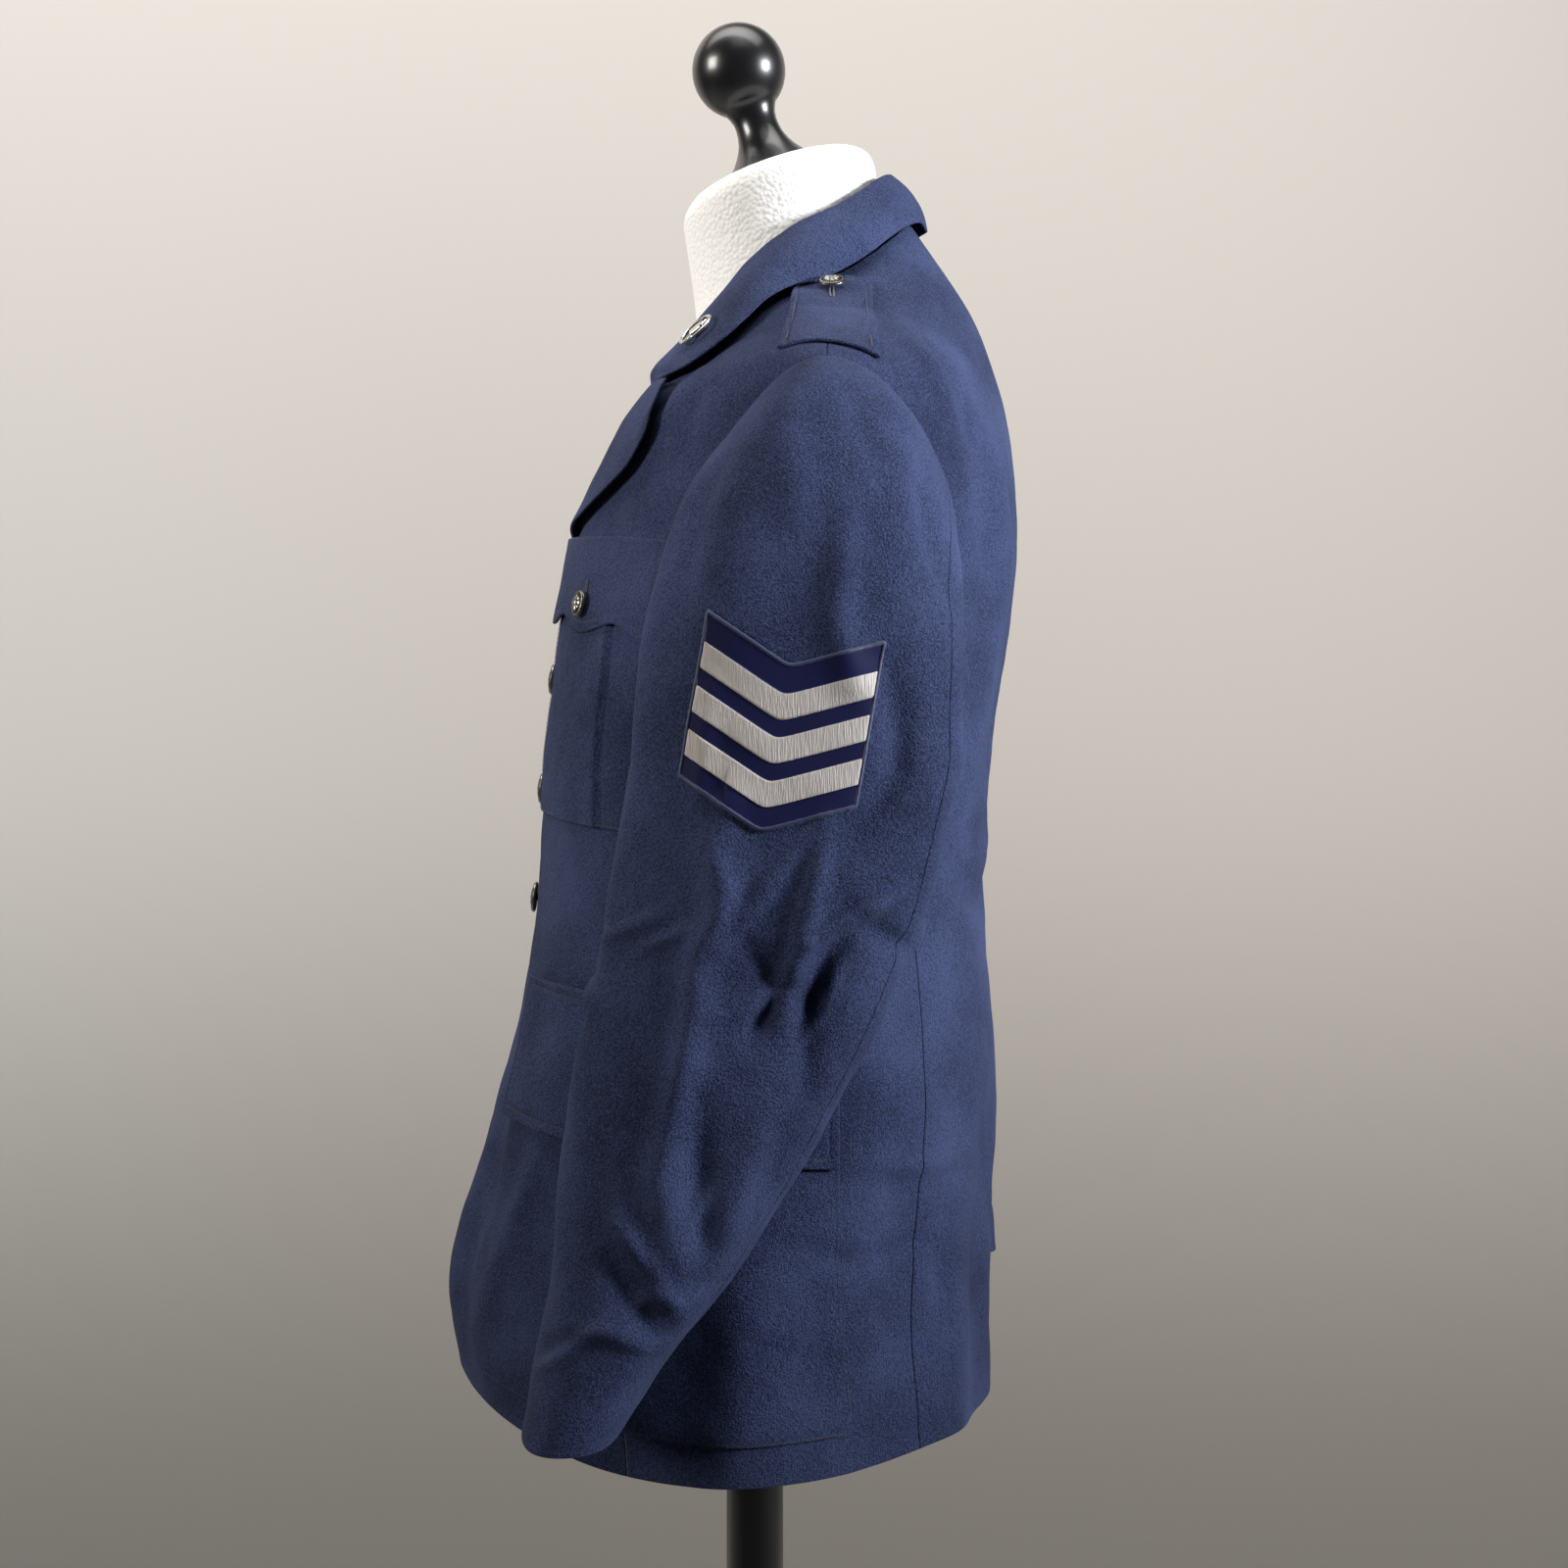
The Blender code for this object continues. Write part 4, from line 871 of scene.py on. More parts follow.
LEFT_SLEEVE_CREASES = seen_from("front", (
    (0.0083, -0.0035, ((0.21, 1.13), (0.25, 1.12))),
    (0.0074, 0.0048, ((0.215, 1.1), (0.26, 1.08))),
)) + seen_from("side", (
    (0.0088, 0.0074, (
        (-0.012, 1.19), (-0.017, 1.133), (-0.026, 1.112), (-0.029, 1.081),
        (-0.039, 1.026), (-0.047, 0.995), (-0.04, 0.955),
    ), 1.2),
    (0.0051, 0.0036, ((0.03, 1.174), (0.006, 1.142), (-0.014, 1.114))),
    (0.0066, 0.0062, ((0.04, 1.18), (0.036, 1.15), (0.029, 1.124), (0.019, 1.078))),
    (0.0074, -0.0061, ((0.055, 1.134), (0.038, 1.102), (0.031, 1.075), (0.031, 1.04))),
    (0.0051, -0.0048, ((0.016, 1.1), (0.01, 1.085), (0.0, 1.066))),
    (0.0091, -0.0049, ((0.072, 1.268), (0.081, 1.23), (0.078, 1.205), (0.058, 1.178))),
    (0.0051, 0.0062, ((0.078, 1.146), (0.053, 1.13), (0.032, 1.116))),
    (0.0059, -0.0048, ((0.06, 1.128), (0.096, 1.108))),
    (0.0037, 0.003, ((-0.082, 1.116), (-0.046, 1.132))),
    (0.003, 0.0024, ((-0.058, 1.114), (-0.029, 1.125))),
    (0.0088, 0.0053, ((0.052, 1.35), (0.05, 1.32), (0.046, 1.29), (0.055, 1.255))),
    (0.0091, -0.0049, ((-0.028, 1.035), (-0.025, 0.985), (-0.02, 0.94))),
    (0.0049, -0.0035, ((-0.122, 0.892), (-0.103, 0.904), (-0.084, 0.917))),
    (0.0051, 0.0053, ((-0.092, 0.916), (-0.07, 0.914), (-0.044, 0.904))),
    (0.0083, -0.0055, ((-0.08, 0.962), (-0.06, 0.932), (-0.046, 0.905))),
    (0.0051, 0.0053, ((-0.07, 0.97), (-0.05, 0.945), (-0.035, 0.922))),
    (0.0066, -0.0049, ((0.104, 1.395), (0.095, 1.362), (0.097, 1.342), (0.112, 1.3))),
    (0.0088, 0.0048, ((0.01, 1.03), (-0.005, 0.99), (-0.018, 0.95))),
    (0.0118, 0.0036, ((0.02, 1.4), (0.03, 1.33))),
    (0.0074, -0.0036, ((-0.01, 1.395), (-0.028, 1.35), (-0.036, 1.3))),
    (0.0045, 0.003, ((-0.022, 1.169), (-0.01, 1.148), (-0.018, 1.115))),
    (0.0045, 0.0034, ((0.031, 1.119), (0.06, 1.134), (0.085, 1.142))),
    (0.0045, -0.0032, ((-0.006, 1.123), (0.019, 1.095), (0.035, 1.086))),
    (0.0045, 0.003, ((-0.018, 1.078), (0.007, 1.086), (0.031, 1.115))),
    (0.004, 0.0032, ((0.027, 1.062), (0.04, 1.082), (0.048, 1.107))),
    (0.005, 0.0034, ((-0.08, 0.913), (-0.051, 0.933), (-0.026, 0.929))),
    (0.0045, 0.003, ((-0.113, 0.892), (-0.084, 0.913))),
    (0.004, -0.003, ((-0.057, 0.954), (-0.043, 0.933))),
    (0.005, 0.0028, ((-0.018, 0.991), (-0.031, 0.971))),
    (0.006, 0.0028, ((0.066, 1.437), (0.078, 1.412), (0.094, 1.4))),
    (0.008, -0.003, ((0.052, 1.43), (0.06, 1.397), (0.073, 1.364))),
    (0.007, 0.0024, ((-0.02, 1.25), (-0.026, 1.19), (-0.02, 1.15))),
)) + seen_from("back", (
    (0.0099, -0.0041, ((0.215, 1.2), (0.25, 1.18))),
    (0.0074, 0.0053, ((0.21, 1.13), (0.255, 1.115))),
    (0.0083, -0.0035, ((0.212, 1.08), (0.25, 1.09))),
))
RIGHT_SLEEVE_CREASES = seen_from("front", (
    (0.0083, -0.0041, ((0.21, 1.12), (0.255, 1.11))),
    (0.0066, 0.0048, ((0.212, 1.085), (0.25, 1.095))),
)) + seen_from("side", (
    (0.0088, 0.0062, ((-0.01, 1.19), (-0.006, 1.13), (0.004, 1.08), (0.02, 1.01), (0.042, 0.95)), 1.2),
    (0.0059, 0.0048, ((0.035, 1.178), (0.018, 1.14), (0.004, 1.105))),
    (0.0083, -0.0055, ((0.062, 1.14), (0.052, 1.1), (0.06, 1.05))),
    (0.0091, -0.0041, ((0.07, 1.262), (0.082, 1.225), (0.066, 1.185))),
    (0.0059, 0.0053, ((0.09, 1.14), (0.058, 1.124), (0.036, 1.104))),
    (0.0088, 0.0053, ((0.052, 1.345), (0.048, 1.3), (0.056, 1.26))),
    (0.0083, -0.0041, ((0.066, 1.0), (0.092, 0.94), (0.11, 0.9))),
    (0.0066, -0.0041, ((0.104, 1.392), (0.096, 1.35), (0.11, 1.305))),
    (0.0066, 0.0048, ((0.075, 0.905), (0.11, 0.89), (0.14, 0.884))),
)) + seen_from("back", (
    (0.0099, -0.0041, ((0.213, 1.175), (0.25, 1.16))),
    (0.0074, 0.0053, ((0.212, 1.12), (0.252, 1.112))),
))


def armhole(around, size=1.0):
    """Turn and level of the armhole's edge: 0 at the shoulder tip, 90 at its front, 180 under the arm."""
    turn = ARMHOLE_TURN - size * ARMHOLE_HALF_TURN * np.sin(np.radians(around))
    level = ARMHOLE_LEVEL + size * ARMHOLE_HALF_LEVEL * np.cos(np.radians(around))
    return turn, level


def sleeve(rows, around, down):
    """Points of a sleeve's outer surface. It leaves the armhole at 0 and its cap ends at 1."""
    around, down = np.broadcast_arrays(np.asarray(around, float), np.asarray(down, float))
    sine = np.sin(np.radians(around))
    cosine = np.cos(np.radians(around))

    def section(place):
        z, y_front, y_back, x_in, x_out = np.moveaxis(through(rows, place), -1, 0)
        x = (x_in + x_out) / 2 + (x_out - x_in) / 2 * np.sign(cosine) * np.abs(cosine) ** 0.9
        y = (y_front + y_back) / 2 - (y_back - y_front) / 2 * np.sign(sine) * np.abs(sine) ** 0.9
        return np.stack([x, y, z + 0 * x], -1)

    # Its edge stands on the panels, and at the shoulder tip the whole wall lies over them.
    seam = coat(*armhole(around, 1.03))
    out = normals(coat, *armhole(around, 1.03))
    start = seam + out * (3.5 * GAP + WALL * smooth(0.2, 0.9, cosine))[..., None]
    bicep = section(np.zeros_like(down))
    span = np.linalg.norm(bicep - start, axis=-1, keepdims=True)
    # The top of the cap falls away along the shoulder's slope.
    fall = np.stack([0.55 + 0 * cosine, 0 * cosine, -0.44 * np.maximum(cosine, 0)], -1)
    leave = start + (out * 0.31 + fall) * span * 0.40
    arrive = bicep + np.array([0, 0, 1]) * span * 0.45
    t = np.clip(down, 0, 1)[..., None]
    cap = (1 - t) ** 3 * start + 3 * (1 - t) ** 2 * t * leave + 3 * (1 - t) * t**2 * arrive + t**3 * bicep
    return np.where((down < 1)[..., None], cap, section(np.maximum(down - 1, 0)))


def left_sleeve(around, down):
    return sleeve(LEFT_SLEEVE, around, down)


def right_sleeve(around, down):
    return sleeve(RIGHT_SLEEVE, around, down)


sleeve_gap = np.degrees(GAP / 2 / 0.07)
cap_downs = shares(1.0, 0.021, (0, 0.004, 0.010, 0.018))
sleeve_downs = np.concatenate([cap_downs, 1 + (len(LEFT_SLEEVE) - 1) * shares(0.40, 0.0031)[1:]])
SLEEVES = (("left", left_sleeve, LEFT_SLEEVE_CREASES), ("right", right_sleeve, RIGHT_SLEEVE_CREASES))
for piece, start, end, length, flat, area in (
    ("top", BACK_SLEEVE_SEAM, FRONT_SLEEVE_SEAM, 0.24, (0.27, 0.62), 0.124),
    ("under", FRONT_SLEEVE_SEAM, 360 + BACK_SLEEVE_SEAM, 0.20, (0.21, 0.56), 0.091),
):
    around = start + sleeve_gap + (end - start - 2 * sleeve_gap) * shares(length, 0.0024)
    u, v = np.meshgrid(around, sleeve_downs)
    for side, surface, creases in SLEEVES:
        points, out = on(surface, u, v, 0.0, creases)
        cloth(f"sleeve_{piece}_{side}", points, out, -WALL, 0.0, flat, area, mirrored=side == "right")


# Chest pockets: patches with a box pleat down the middle, sewn on close to their edges.
# The flap's lower edge falls in three points and buttons at the middle one.
FLAP_LIFT = 0.0042
PATCH = 0.0016
PLEAT = (0.32, 0.70)
PLEAT_RISE = 0.0018
CHEST_POCKET = ((0.045, 1.186), (0.174, 1.172), (0.045, 1.349), (0.176, 1.334))  # corners as (x, z)
CHEST_FLAP = ((0.041, 1.311), (0.178, 1.289), (0.043, 1.3565), (0.180, 1.341))


def between(corners, across, up):
    """Places inside four corners: lower front, lower rear, upper front and upper rear."""
    lower_front, lower_rear, upper_front, upper_rear = (np.array(c, float) for c in corners)
    across = np.asarray(across)[..., None]
    up = np.asarray(up)[..., None]
    low = lower_front + (lower_rear - lower_front) * across
    high = upper_front + (upper_rear - upper_front) * across
    places = low + (high - low) * up
    return places[..., 0], places[..., 1]


THREAD = 0.00035
STITCH = 0.0030


def thread_rows(name, rows, mirrored):
    """Stitches of sewing thread along rows of (points, ways out)."""
    points = []
    faces = []
    for line, out in rows:
        lengths = np.linalg.norm(np.diff(line, axis=0), axis=1)
        at = np.concatenate([[0], np.cumsum(lengths)])
        starts = np.arange(0.001, at[-1] - STITCH, STITCH)
        stops = starts[:, None] + STITCH * np.array([0, 0.25, 0.75, 0.86])
        place = np.stack([np.interp(stops, at, line[:, k]) for k in range(3)], -1)
        up = np.stack([np.interp(stops, at, out[:, k]) for k in range(3)], -1)
        over = np.cross(unit(place[:, -1:] - place[:, :1]), up)
        rise = np.array([0.0, 0.55, 0.55, 0.0]) * THREAD
        wide = np.array([0.5, 1.0, 1.0, 0.5])[:, None] * THREAD
        crown = place + up * (rise + 0.6 * THREAD)[:, None]
        for k in range(len(starts)):
            base = sum(len(p) for p in points)
            left = place[k] + over[k] * wide + up[k] * rise[:, None] * 0.5
            right = place[k] - over[k] * wide + up[k] * rise[:, None] * 0.5
            points.append(np.concatenate([left, crown[k], right]))
            for n in range(3):
                faces.append((base + n, base + n + 1, base + n + 5, base + n + 4))
                faces.append((base + n + 4, base + n + 5, base + n + 9, base + n + 8))
    return put(name, np.concatenate(points), faces, [sewing_thread], mirrored=mirrored, sharp=180)


def row_along(points, out, side, inset=STITCH_IN, lift=0.0, ends=0.0):
    """The line over a grid at a set distance from one of its sides, and the way out along it."""
    away = distances(points)[side]
    if side in ("low", "high"):
        away, points, out = away.T, points.swapaxes(0, 1), out.swapaxes(0, 1)
    if side in ("high", "right"):
        away, points, out = away[:, ::-1], points[:, ::-1], out[:, ::-1]
    line = np.array([[np.interp(inset, a, p[:, k]) for k in range(3)] for a, p in zip(away, points)])
    ways = np.array([[np.interp(inset, a, p[:, k]) for k in range(3)] for a, p in zip(away, out)])
    ways = unit(ways)
    at = np.concatenate([[0], np.cumsum(np.linalg.norm(np.diff(line, axis=0), axis=1))])
    kept = (at >= ends) & (at <= at[-1] - ends)
    line = line + ways * lift
    return line[kept], ways[kept]


def rows_along(points, out, sides, inset, lift, ends):
    return [row_along(points, out, side, inset, lift, ends) for side in sides]


SIDES_AND_FOOT = ("low", "left", "right")
EDGE_STITCH = 0.0016
sewing_thread, _ = finish("sewing_thread", (0.008, 0.010, 0.026, 1), 0.7, Sheen_Weight=0.2)

chest_corners = from_front(*np.array(CHEST_POCKET).T)
u, v = np.meshgrid(shares(0.124, 0.0020), shares(0.165, 0.0024))
corner_rise = 0.035 * np.clip(1 - np.minimum(u, 1 - u) / 0.06, 0, 1) ** 2
v = np.maximum(v, corner_rise) + 0 * u
chest_turn, chest_level = between(chest_corners, u, v)
pleat_front, pleat_rear = PLEAT
pleat_in = smooth(pleat_front - 0.004, pleat_front + 0.010, u)
pleat_in = pleat_in * (1 - smooth(pleat_rear - 0.010, pleat_rear + 0.004, u))
beside = np.exp(-(((u - pleat_front + 0.006) / 0.010) ** 2))
beside = beside + 1.6 * np.exp(-(((u - pleat_rear - 0.008) / 0.010) ** 2))
chest_rise = PLEAT_RISE * pleat_in * (0.9 + 1.6 * u**2) - 0.0007 * beside
chest_low = LIE + 0 * u
flap_corners = from_front(*np.array(CHEST_FLAP).T)
flap_across = shares(0.133, 0.0016, NEAR_STITCHES)
flap_rows = shares(0.075, 0.0020, NEAR_STITCHES)
points_down = 0.17 * np.abs(np.cos(2 * np.pi * flap_across)) ** 1.5
flap_turn, flap_level = between(
    flap_corners,
    flap_across + 0 * flap_rows[:, None],
    -points_down + (1 + points_down) * flap_rows[:, None],
)
for side, creases, mirrored in SIDES:
    points, out = on(coat, chest_turn, chest_level, 0.0, creases)
    cloth(
        "chest_pocket_" + side, points, out, chest_low, chest_low + PATCH + chest_rise,
        (0.152, 0.175), 0.0260, held="stretched", rests_on=("coat_front_" + side,),
        stitched=SIDES_AND_FOOT, insets=(EDGE_STITCH, STITCH_IN), mirrored=mirrored,
    )
    rows = rows_along(points, out, ("left", "low", "right"), EDGE_STITCH, LIE + PATCH, 0.002)
    points, out = on(coat, flap_turn, flap_level, 0.0, creases)
    cloth(
        "chest_flap_" + side, points, out, FLAP_LIFT, FLAP_LIFT + DOUBLE, (0.158, 0.068), 0.0092,
        rests_on=("coat_chest_pocket_" + side,), stitched=SIDES_AND_FOOT, mirrored=mirrored,
    )
    flap_top = FLAP_LIFT + DOUBLE
    rows += rows_along(points, out, ("left", "low", "right"), STITCH_IN, flap_top - 0.0005, STITCH_IN)
    rows += rows_along(points, out, ("high",), EDGE_STITCH, flap_top - 0.0003, 0.002)
    thread_rows("chest_stitches_" + side, rows, mirrored)


# Lower pockets: large patches over the hips with square flaps, sewn down along the top in two rows.
POCKET_LOW = 1.5 * LIE


def from_side(y, z):
    target = np.stack(np.broadcast_arrays(y, z), -1)
    return find(coat, (95.0, 3.0), (1, 2), target)


pocket_corners = [
    from_front(0.100, 0.848), from_side(0.058, 0.826), from_front(0.096, 1.076), from_side(0.047, 1.060)
]
u, v = np.meshgrid(shares(0.235, 0.0026), shares(0.235, 0.0028))
v = np.maximum(v, 0.03 * np.clip(1 - np.minimum(u, 1 - u) / 0.035, 0, 1) ** 2)
pocket_turn, pocket_level = between(pocket_corners, u, v)
hip_flap_corners = [
    from_front(0.090, 1.000), from_side(0.048, 0.982), from_front(0.093, 1.086), from_side(0.045, 1.071)
]
u, v = np.meshgrid(shares(0.235, 0.0024, NEAR_STITCHES), shares(0.088, 0.0024, NEAR_STITCHES))
hip_flap_turn, hip_flap_level = between(hip_flap_corners, u, v)
FLAP_LOW = POCKET_LOW + DOUBLE + 1.5 * LIE
for side, creases, mirrored in SIDES:
    points, out = on(coat, pocket_turn, pocket_level, 0.0, creases)
    top = POCKET_LOW + DOUBLE
    cloth(
        "lower_pocket_" + side, points, out, POCKET_LOW, top, (0.245, 0.250), 0.0595,
        rests_on=("coat_front_" + side, "coat_side_" + side), stitched=SIDES_AND_FOOT, insets=(EDGE_STITCH,),
        mirrored=mirrored,
    )
    rows = rows_along(points, out, ("left", "low", "right"), EDGE_STITCH, top - 0.0004, 0.002)
    points, out = on(coat, hip_flap_turn, hip_flap_level, 0.0, creases)
    bow = 0.0012 * smooth(0.6, 0.0, v)
    cloth(
        "lower_flap_" + side, points, out, FLAP_LOW + bow, FLAP_LOW + DOUBLE + bow, (0.245, 0.092), 0.0216,
        rests_on=("coat_lower_pocket_" + side,), stitched=("low", "high", "left", "right"),
        mirrored=mirrored,
    )
    top = FLAP_LOW + DOUBLE - 0.0005
    rows += rows_along(points, out, ("left", "high", "right"), STITCH_IN, top, STITCH_IN)
    rows += rows_along(points, out, ("low",), STITCH_IN, top + 0.0012, STITCH_IN)
    rows += rows_along(points, out, ("high",), EDGE_STITCH, top + 0.0003, 0.002)
    thread_rows("lower_stitches_" + side, rows, mirrored)


# Shoulder straps: two layers turned and stitched round, sewn into the armhole seam, with a rounded inner
# end that buttons beside the collar.
STRAP_LOW = 1.8 * LIE
STRAP_STITCH = 0.0050  # from its edge to its row of stitches
strap_corners = np.array([(0.098, 0.025), (0.1985, 0.016), (0.096, 0.072), (0.1955, 0.073)])
u, v = np.meshgrid(shares(0.125, 0.0020, NEAR_STITCHES), shares(0.052, 0.0016, NEAR_STITCHES))
point = 0.11 * (1 - (2 * v - 1) ** 2)
strap_x, strap_y = between(strap_corners, u * (1 + point) - point, v)
strap_places = from_above(strap_x, strap_y)
strap_turn, strap_level = strap_places[..., 0], strap_places[..., 1]
button_places = from_above(*between(strap_corners, np.array([0.045, 0.135]), np.array([0.5, 0.5])))
points, out = on(coat, strap_turn, strap_level, 0.0, ())
ripple = 0.0006 * np.sin(u * 9 + 1.5) * smooth(0, 0.1, u) * smooth(1.0, 0.85, u)
ripple -= 0.0009 * smooth(0.75, 1.0, u)
ripple -= 0.0010 * np.exp(-(((u - 0.30 - 0.12 * np.sin(3 * v)) / 0.05) ** 2))
for side, creases, mirrored in SIDES:
    cloth(
        "epaulet_" + side, points, out, STRAP_LOW + ripple, STRAP_LOW + DOUBLE + ripple,
        (0.135, 0.054), 0.0067, held="laid", rests_on=("coat_front_" + side, "coat_back_" + side),
        stitched=("low", "high", "left"), insets=(STRAP_STITCH,), mirrored=mirrored,
        name="coat_strap_" + side,
    )
    lift = STRAP_LOW + DOUBLE - 0.0004
    rows = rows_along(points, out, ("low", "high", "left"), STRAP_STITCH, lift, STRAP_STITCH)
    thread_rows("strap_stitches_" + side, rows, mirrored)


# Buttons: stamped white-metal shells, blackened in the hollows and rubbed bright on the relief, each on a
# wire shank sewn through the cloth. A rope rim and a plain rosette are raised on the dome.
SILVER = (0.34, 0.33, 0.305, 1)
SILVER_DARK = (0.035, 0.033, 0.030, 1)
FRONT_BUTTON = 0.020
SMALL_BUTTON = 0.016
BUTTON_HEIGHTS = (1.341, 1.270, 1.199, 1.128)

silver, _ = finish("button_silver", SILVER, 0.30, 1.0)
silver_dark, _ = finish("button_hollows", SILVER_DARK, 0.45, 1.0)


ROUND = 96  # steps round a button


def button(name, node, place, height, diameter, mirrored=False, creases=BODY_CREASES):
    foot, out = on(coat, *np.array(place, float), height + 2 * GAP, creases)
    axis, side, other = ring_frame(out)
    angle = np.linspace(0, 2 * np.pi, ROUND, endpoint=False)
    cosine, sine = circle(ROUND)
    way = diameter / 2 * (cosine[:, None] * side + sine[:, None] * other)
    rings = []
    bright = []
    for share in np.concatenate([np.linspace(0.04, 0.78, 22), np.linspace(0.80, 1.0, 9)]):
        dome = 0.0020 + 0.0032 * np.sqrt(max(1 - (share * 0.92) ** 2, 0))
        petal = np.abs(np.cos(4 * angle)) ** 0.7 * smooth(0.06, 0.30, share)
        petal = petal * (1 - smooth(0.50, 0.66, share))
        heart = 1 - smooth(0.10, 0.17, share)
        rope = np.exp(-(((share - 0.89) / 0.055) ** 2)) * (0.65 + 0.35 * np.cos(30 * angle + 9 * share))
        raised = 0.00050 * petal * (0.5 + share) + 0.00065 * heart + 0.00055 * rope
        rings.append(foot + axis * (dome + raised)[:, None] + share * way)
        bright.append(raised > 0.00022)
    for share, lift in ((0.995, 0.0026), (0.96, 0.0021), (0.90, 0.0018), (0.24, 0.0016), (0.22, 0.0)):
        rings.append(foot + axis * lift + share * way)
        bright.append(np.full(ROUND, share > 0.9))
    rubbed = np.array(bright)
    slots = np.where(rubbed[:-1] | rubbed[1:], 0, 1).reshape(-1).tolist() + [0, 1]
    faces = turned_over(capped(len(rings), ROUND))
    materials = [silver, silver_dark]
    put(name, np.concatenate(rings), faces, materials, node, mirrored, slots, sharp=60)


def thread_ring(name, centre, over, out, ridge, sides, made, mirrored):
    """A closed cord of overcast thread. Over and out are its half width and half height at each point."""
    points = []
    for cosine, sine in zip(*circle(sides)):
        points.append(centre + over * (cosine * ridge)[:, None] + out * (sine * ridge)[:, None])
    faces = turned_over(bands(sides, len(centre), closed=True))
    put(name, np.concatenate(points), faces, [made], mirrored=mirrored, sharp=180)


def buttonhole(name, place, way, length, height, mirrored=False, creases=BODY_CREASES):
    """A worked buttonhole: a bar of purl stitches on each side of a slit, as one flat ring of thread."""
    foot, out = on(coat, *np.array(place, float), height, creases)
    way = unit(np.array(way, float) - out * (np.array(way) @ out))
    over = np.cross(out, way)
    cosine, sine = circle(ROUND)
    run = np.sign(cosine) * np.abs(cosine) ** 0.35 * length / 2
    centre = foot + run[:, None] * way + sine[:, None] * 0.0011 * over + 0.0002 * out
    ridge = 1 + 0.20 * (np.arange(ROUND) % 2)
    wide = 0.0007 * np.sign(sine)[:, None] * over
    thread_ring(name, centre, wide, 0.00035 * out, ridge, 6, sewing_thread, mirrored)


for number, height in enumerate(BUTTON_HEIGHTS, 1):
    place = find(coat, (0.5, 6.0), (0, 2), np.array([0.0005, height]))
    button(f"button_front_{number}", f"front_button_{number}", place, 0.0, FRONT_BUTTON)
    beside = find(coat, (0.5, 6.0), (0, 2), np.array([-0.004, height]))
    buttonhole(f"buttonhole_front_{number}", beside, (1, 0, 0), 0.024, 0.0)
strap_top = STRAP_LOW + DOUBLE
for side, creases, mirrored in SIDES:
    more = {"mirrored": mirrored, "creases": creases}
    place = between(flap_corners, 0.5, 0.16)
    button("button_chest_" + side, "chest_button_" + side, place, flap_top, SMALL_BUTTON, **more)
    place = between(flap_corners, 0.5, 0.28)
    buttonhole("buttonhole_chest_" + side, place, (0, 0, 1), 0.019, flap_top, **more)
    place, hole = button_places
    button("button_strap_" + side, "epaulet_button_" + side, place, strap_top, SMALL_BUTTON, **more)
    buttonhole("buttonhole_strap_" + side, hole, (1, 0, -0.3), 0.018, strap_top, **more)


# Sleeve badges: navy twill patches with a merrowed edge, machine-embroidered in pale grey satin stitch
# with three plain stripes in a V, and sewn flat to the top sleeves.
BADGE_NAVY = (0.0055, 0.0065, 0.040, 1)
BADGE_GREY = (0.40, 0.365, 0.345, 1)
BADGE_EDGE = (0.018, 0.024, 0.075, 1)
BADGE_Y = 0.016
BADGE_Z = 1.231
BADGE_HALF_WIDTH = 0.047
BADGE_HALF_HEIGHT = 0.044
BADGE_LEAN = np.radians(10)
BADGE_LOW = 1.2 * LIE
BADGE_WALL = 0.0012
EDGE_TURNS = 620  # of the overcast thread round a badge
STRIPES = ((0.13, 0.29), (0.40, 0.56), (0.67, 0.83))  # shares of the badge's height

badge_navy, _ = finish("badge_navy", BADGE_NAVY, 0.7, Specular_IOR_Level=0.12)
badge_edge, _ = finish("badge_edge", BADGE_EDGE, 0.6, Sheen_Weight=0.1)
badge_grey, shader = finish("badge_grey", BADGE_GREY, 0.5, Specular_IOR_Level=0.3)
where = add_node(badge_grey, "TexCoord")
thread_way = add_node(badge_grey, "Mapping", Scale=(1100, 1100, 110))
threads = add_node(badge_grey, "TexNoise", Scale=1.0, Detail=2)
thread_bump = add_node(badge_grey, "Bump", Strength=0.8, Distance=0.0008)
join(
    badge_grey,
    (where, "Object", thread_way, "Vector"),
    (thread_way, "Vector", threads, "Vector"),
    (threads, "Fac", thread_bump, "Height"),
    (thread_bump, "Normal", shader, "Normal"),
)

across = np.linspace(-1, 1, 161)
stripe_ends = [share for stripe in STRIPES for edge in stripe for share in (edge - 0.006, edge + 0.006)]
near_edges = [0.0, 0.004, 0.012, 0.988, 0.996, 1.0]
up = np.sort(np.concatenate([np.linspace(0, 1, 76)[1:-1], near_edges, stripe_ends]))
across_grid, up_grid = np.meshgrid(across, up)
in_stripe = np.zeros(up_grid.shape)
for low, high in STRIPES:
    above_low = smooth(low - 0.007, low + 0.007, up_grid)
    in_stripe += above_low * (1 - smooth(high - 0.007, high + 0.007, up_grid))
in_stripe *= smooth(1.0, 0.965, np.abs(across_grid))
drop = 0.022 * (np.sqrt(across_grid**2 + 0.004) - 0.5)
y = across_grid * BADGE_HALF_WIDTH
z = BADGE_HALF_HEIGHT * (2 * up_grid - 1) + drop
leaned_y = BADGE_Y + y * np.cos(BADGE_LEAN) + z * np.sin(BADGE_LEAN)
leaned_z = BADGE_Z - y * np.sin(BADGE_LEAN) + z * np.cos(BADGE_LEAN)
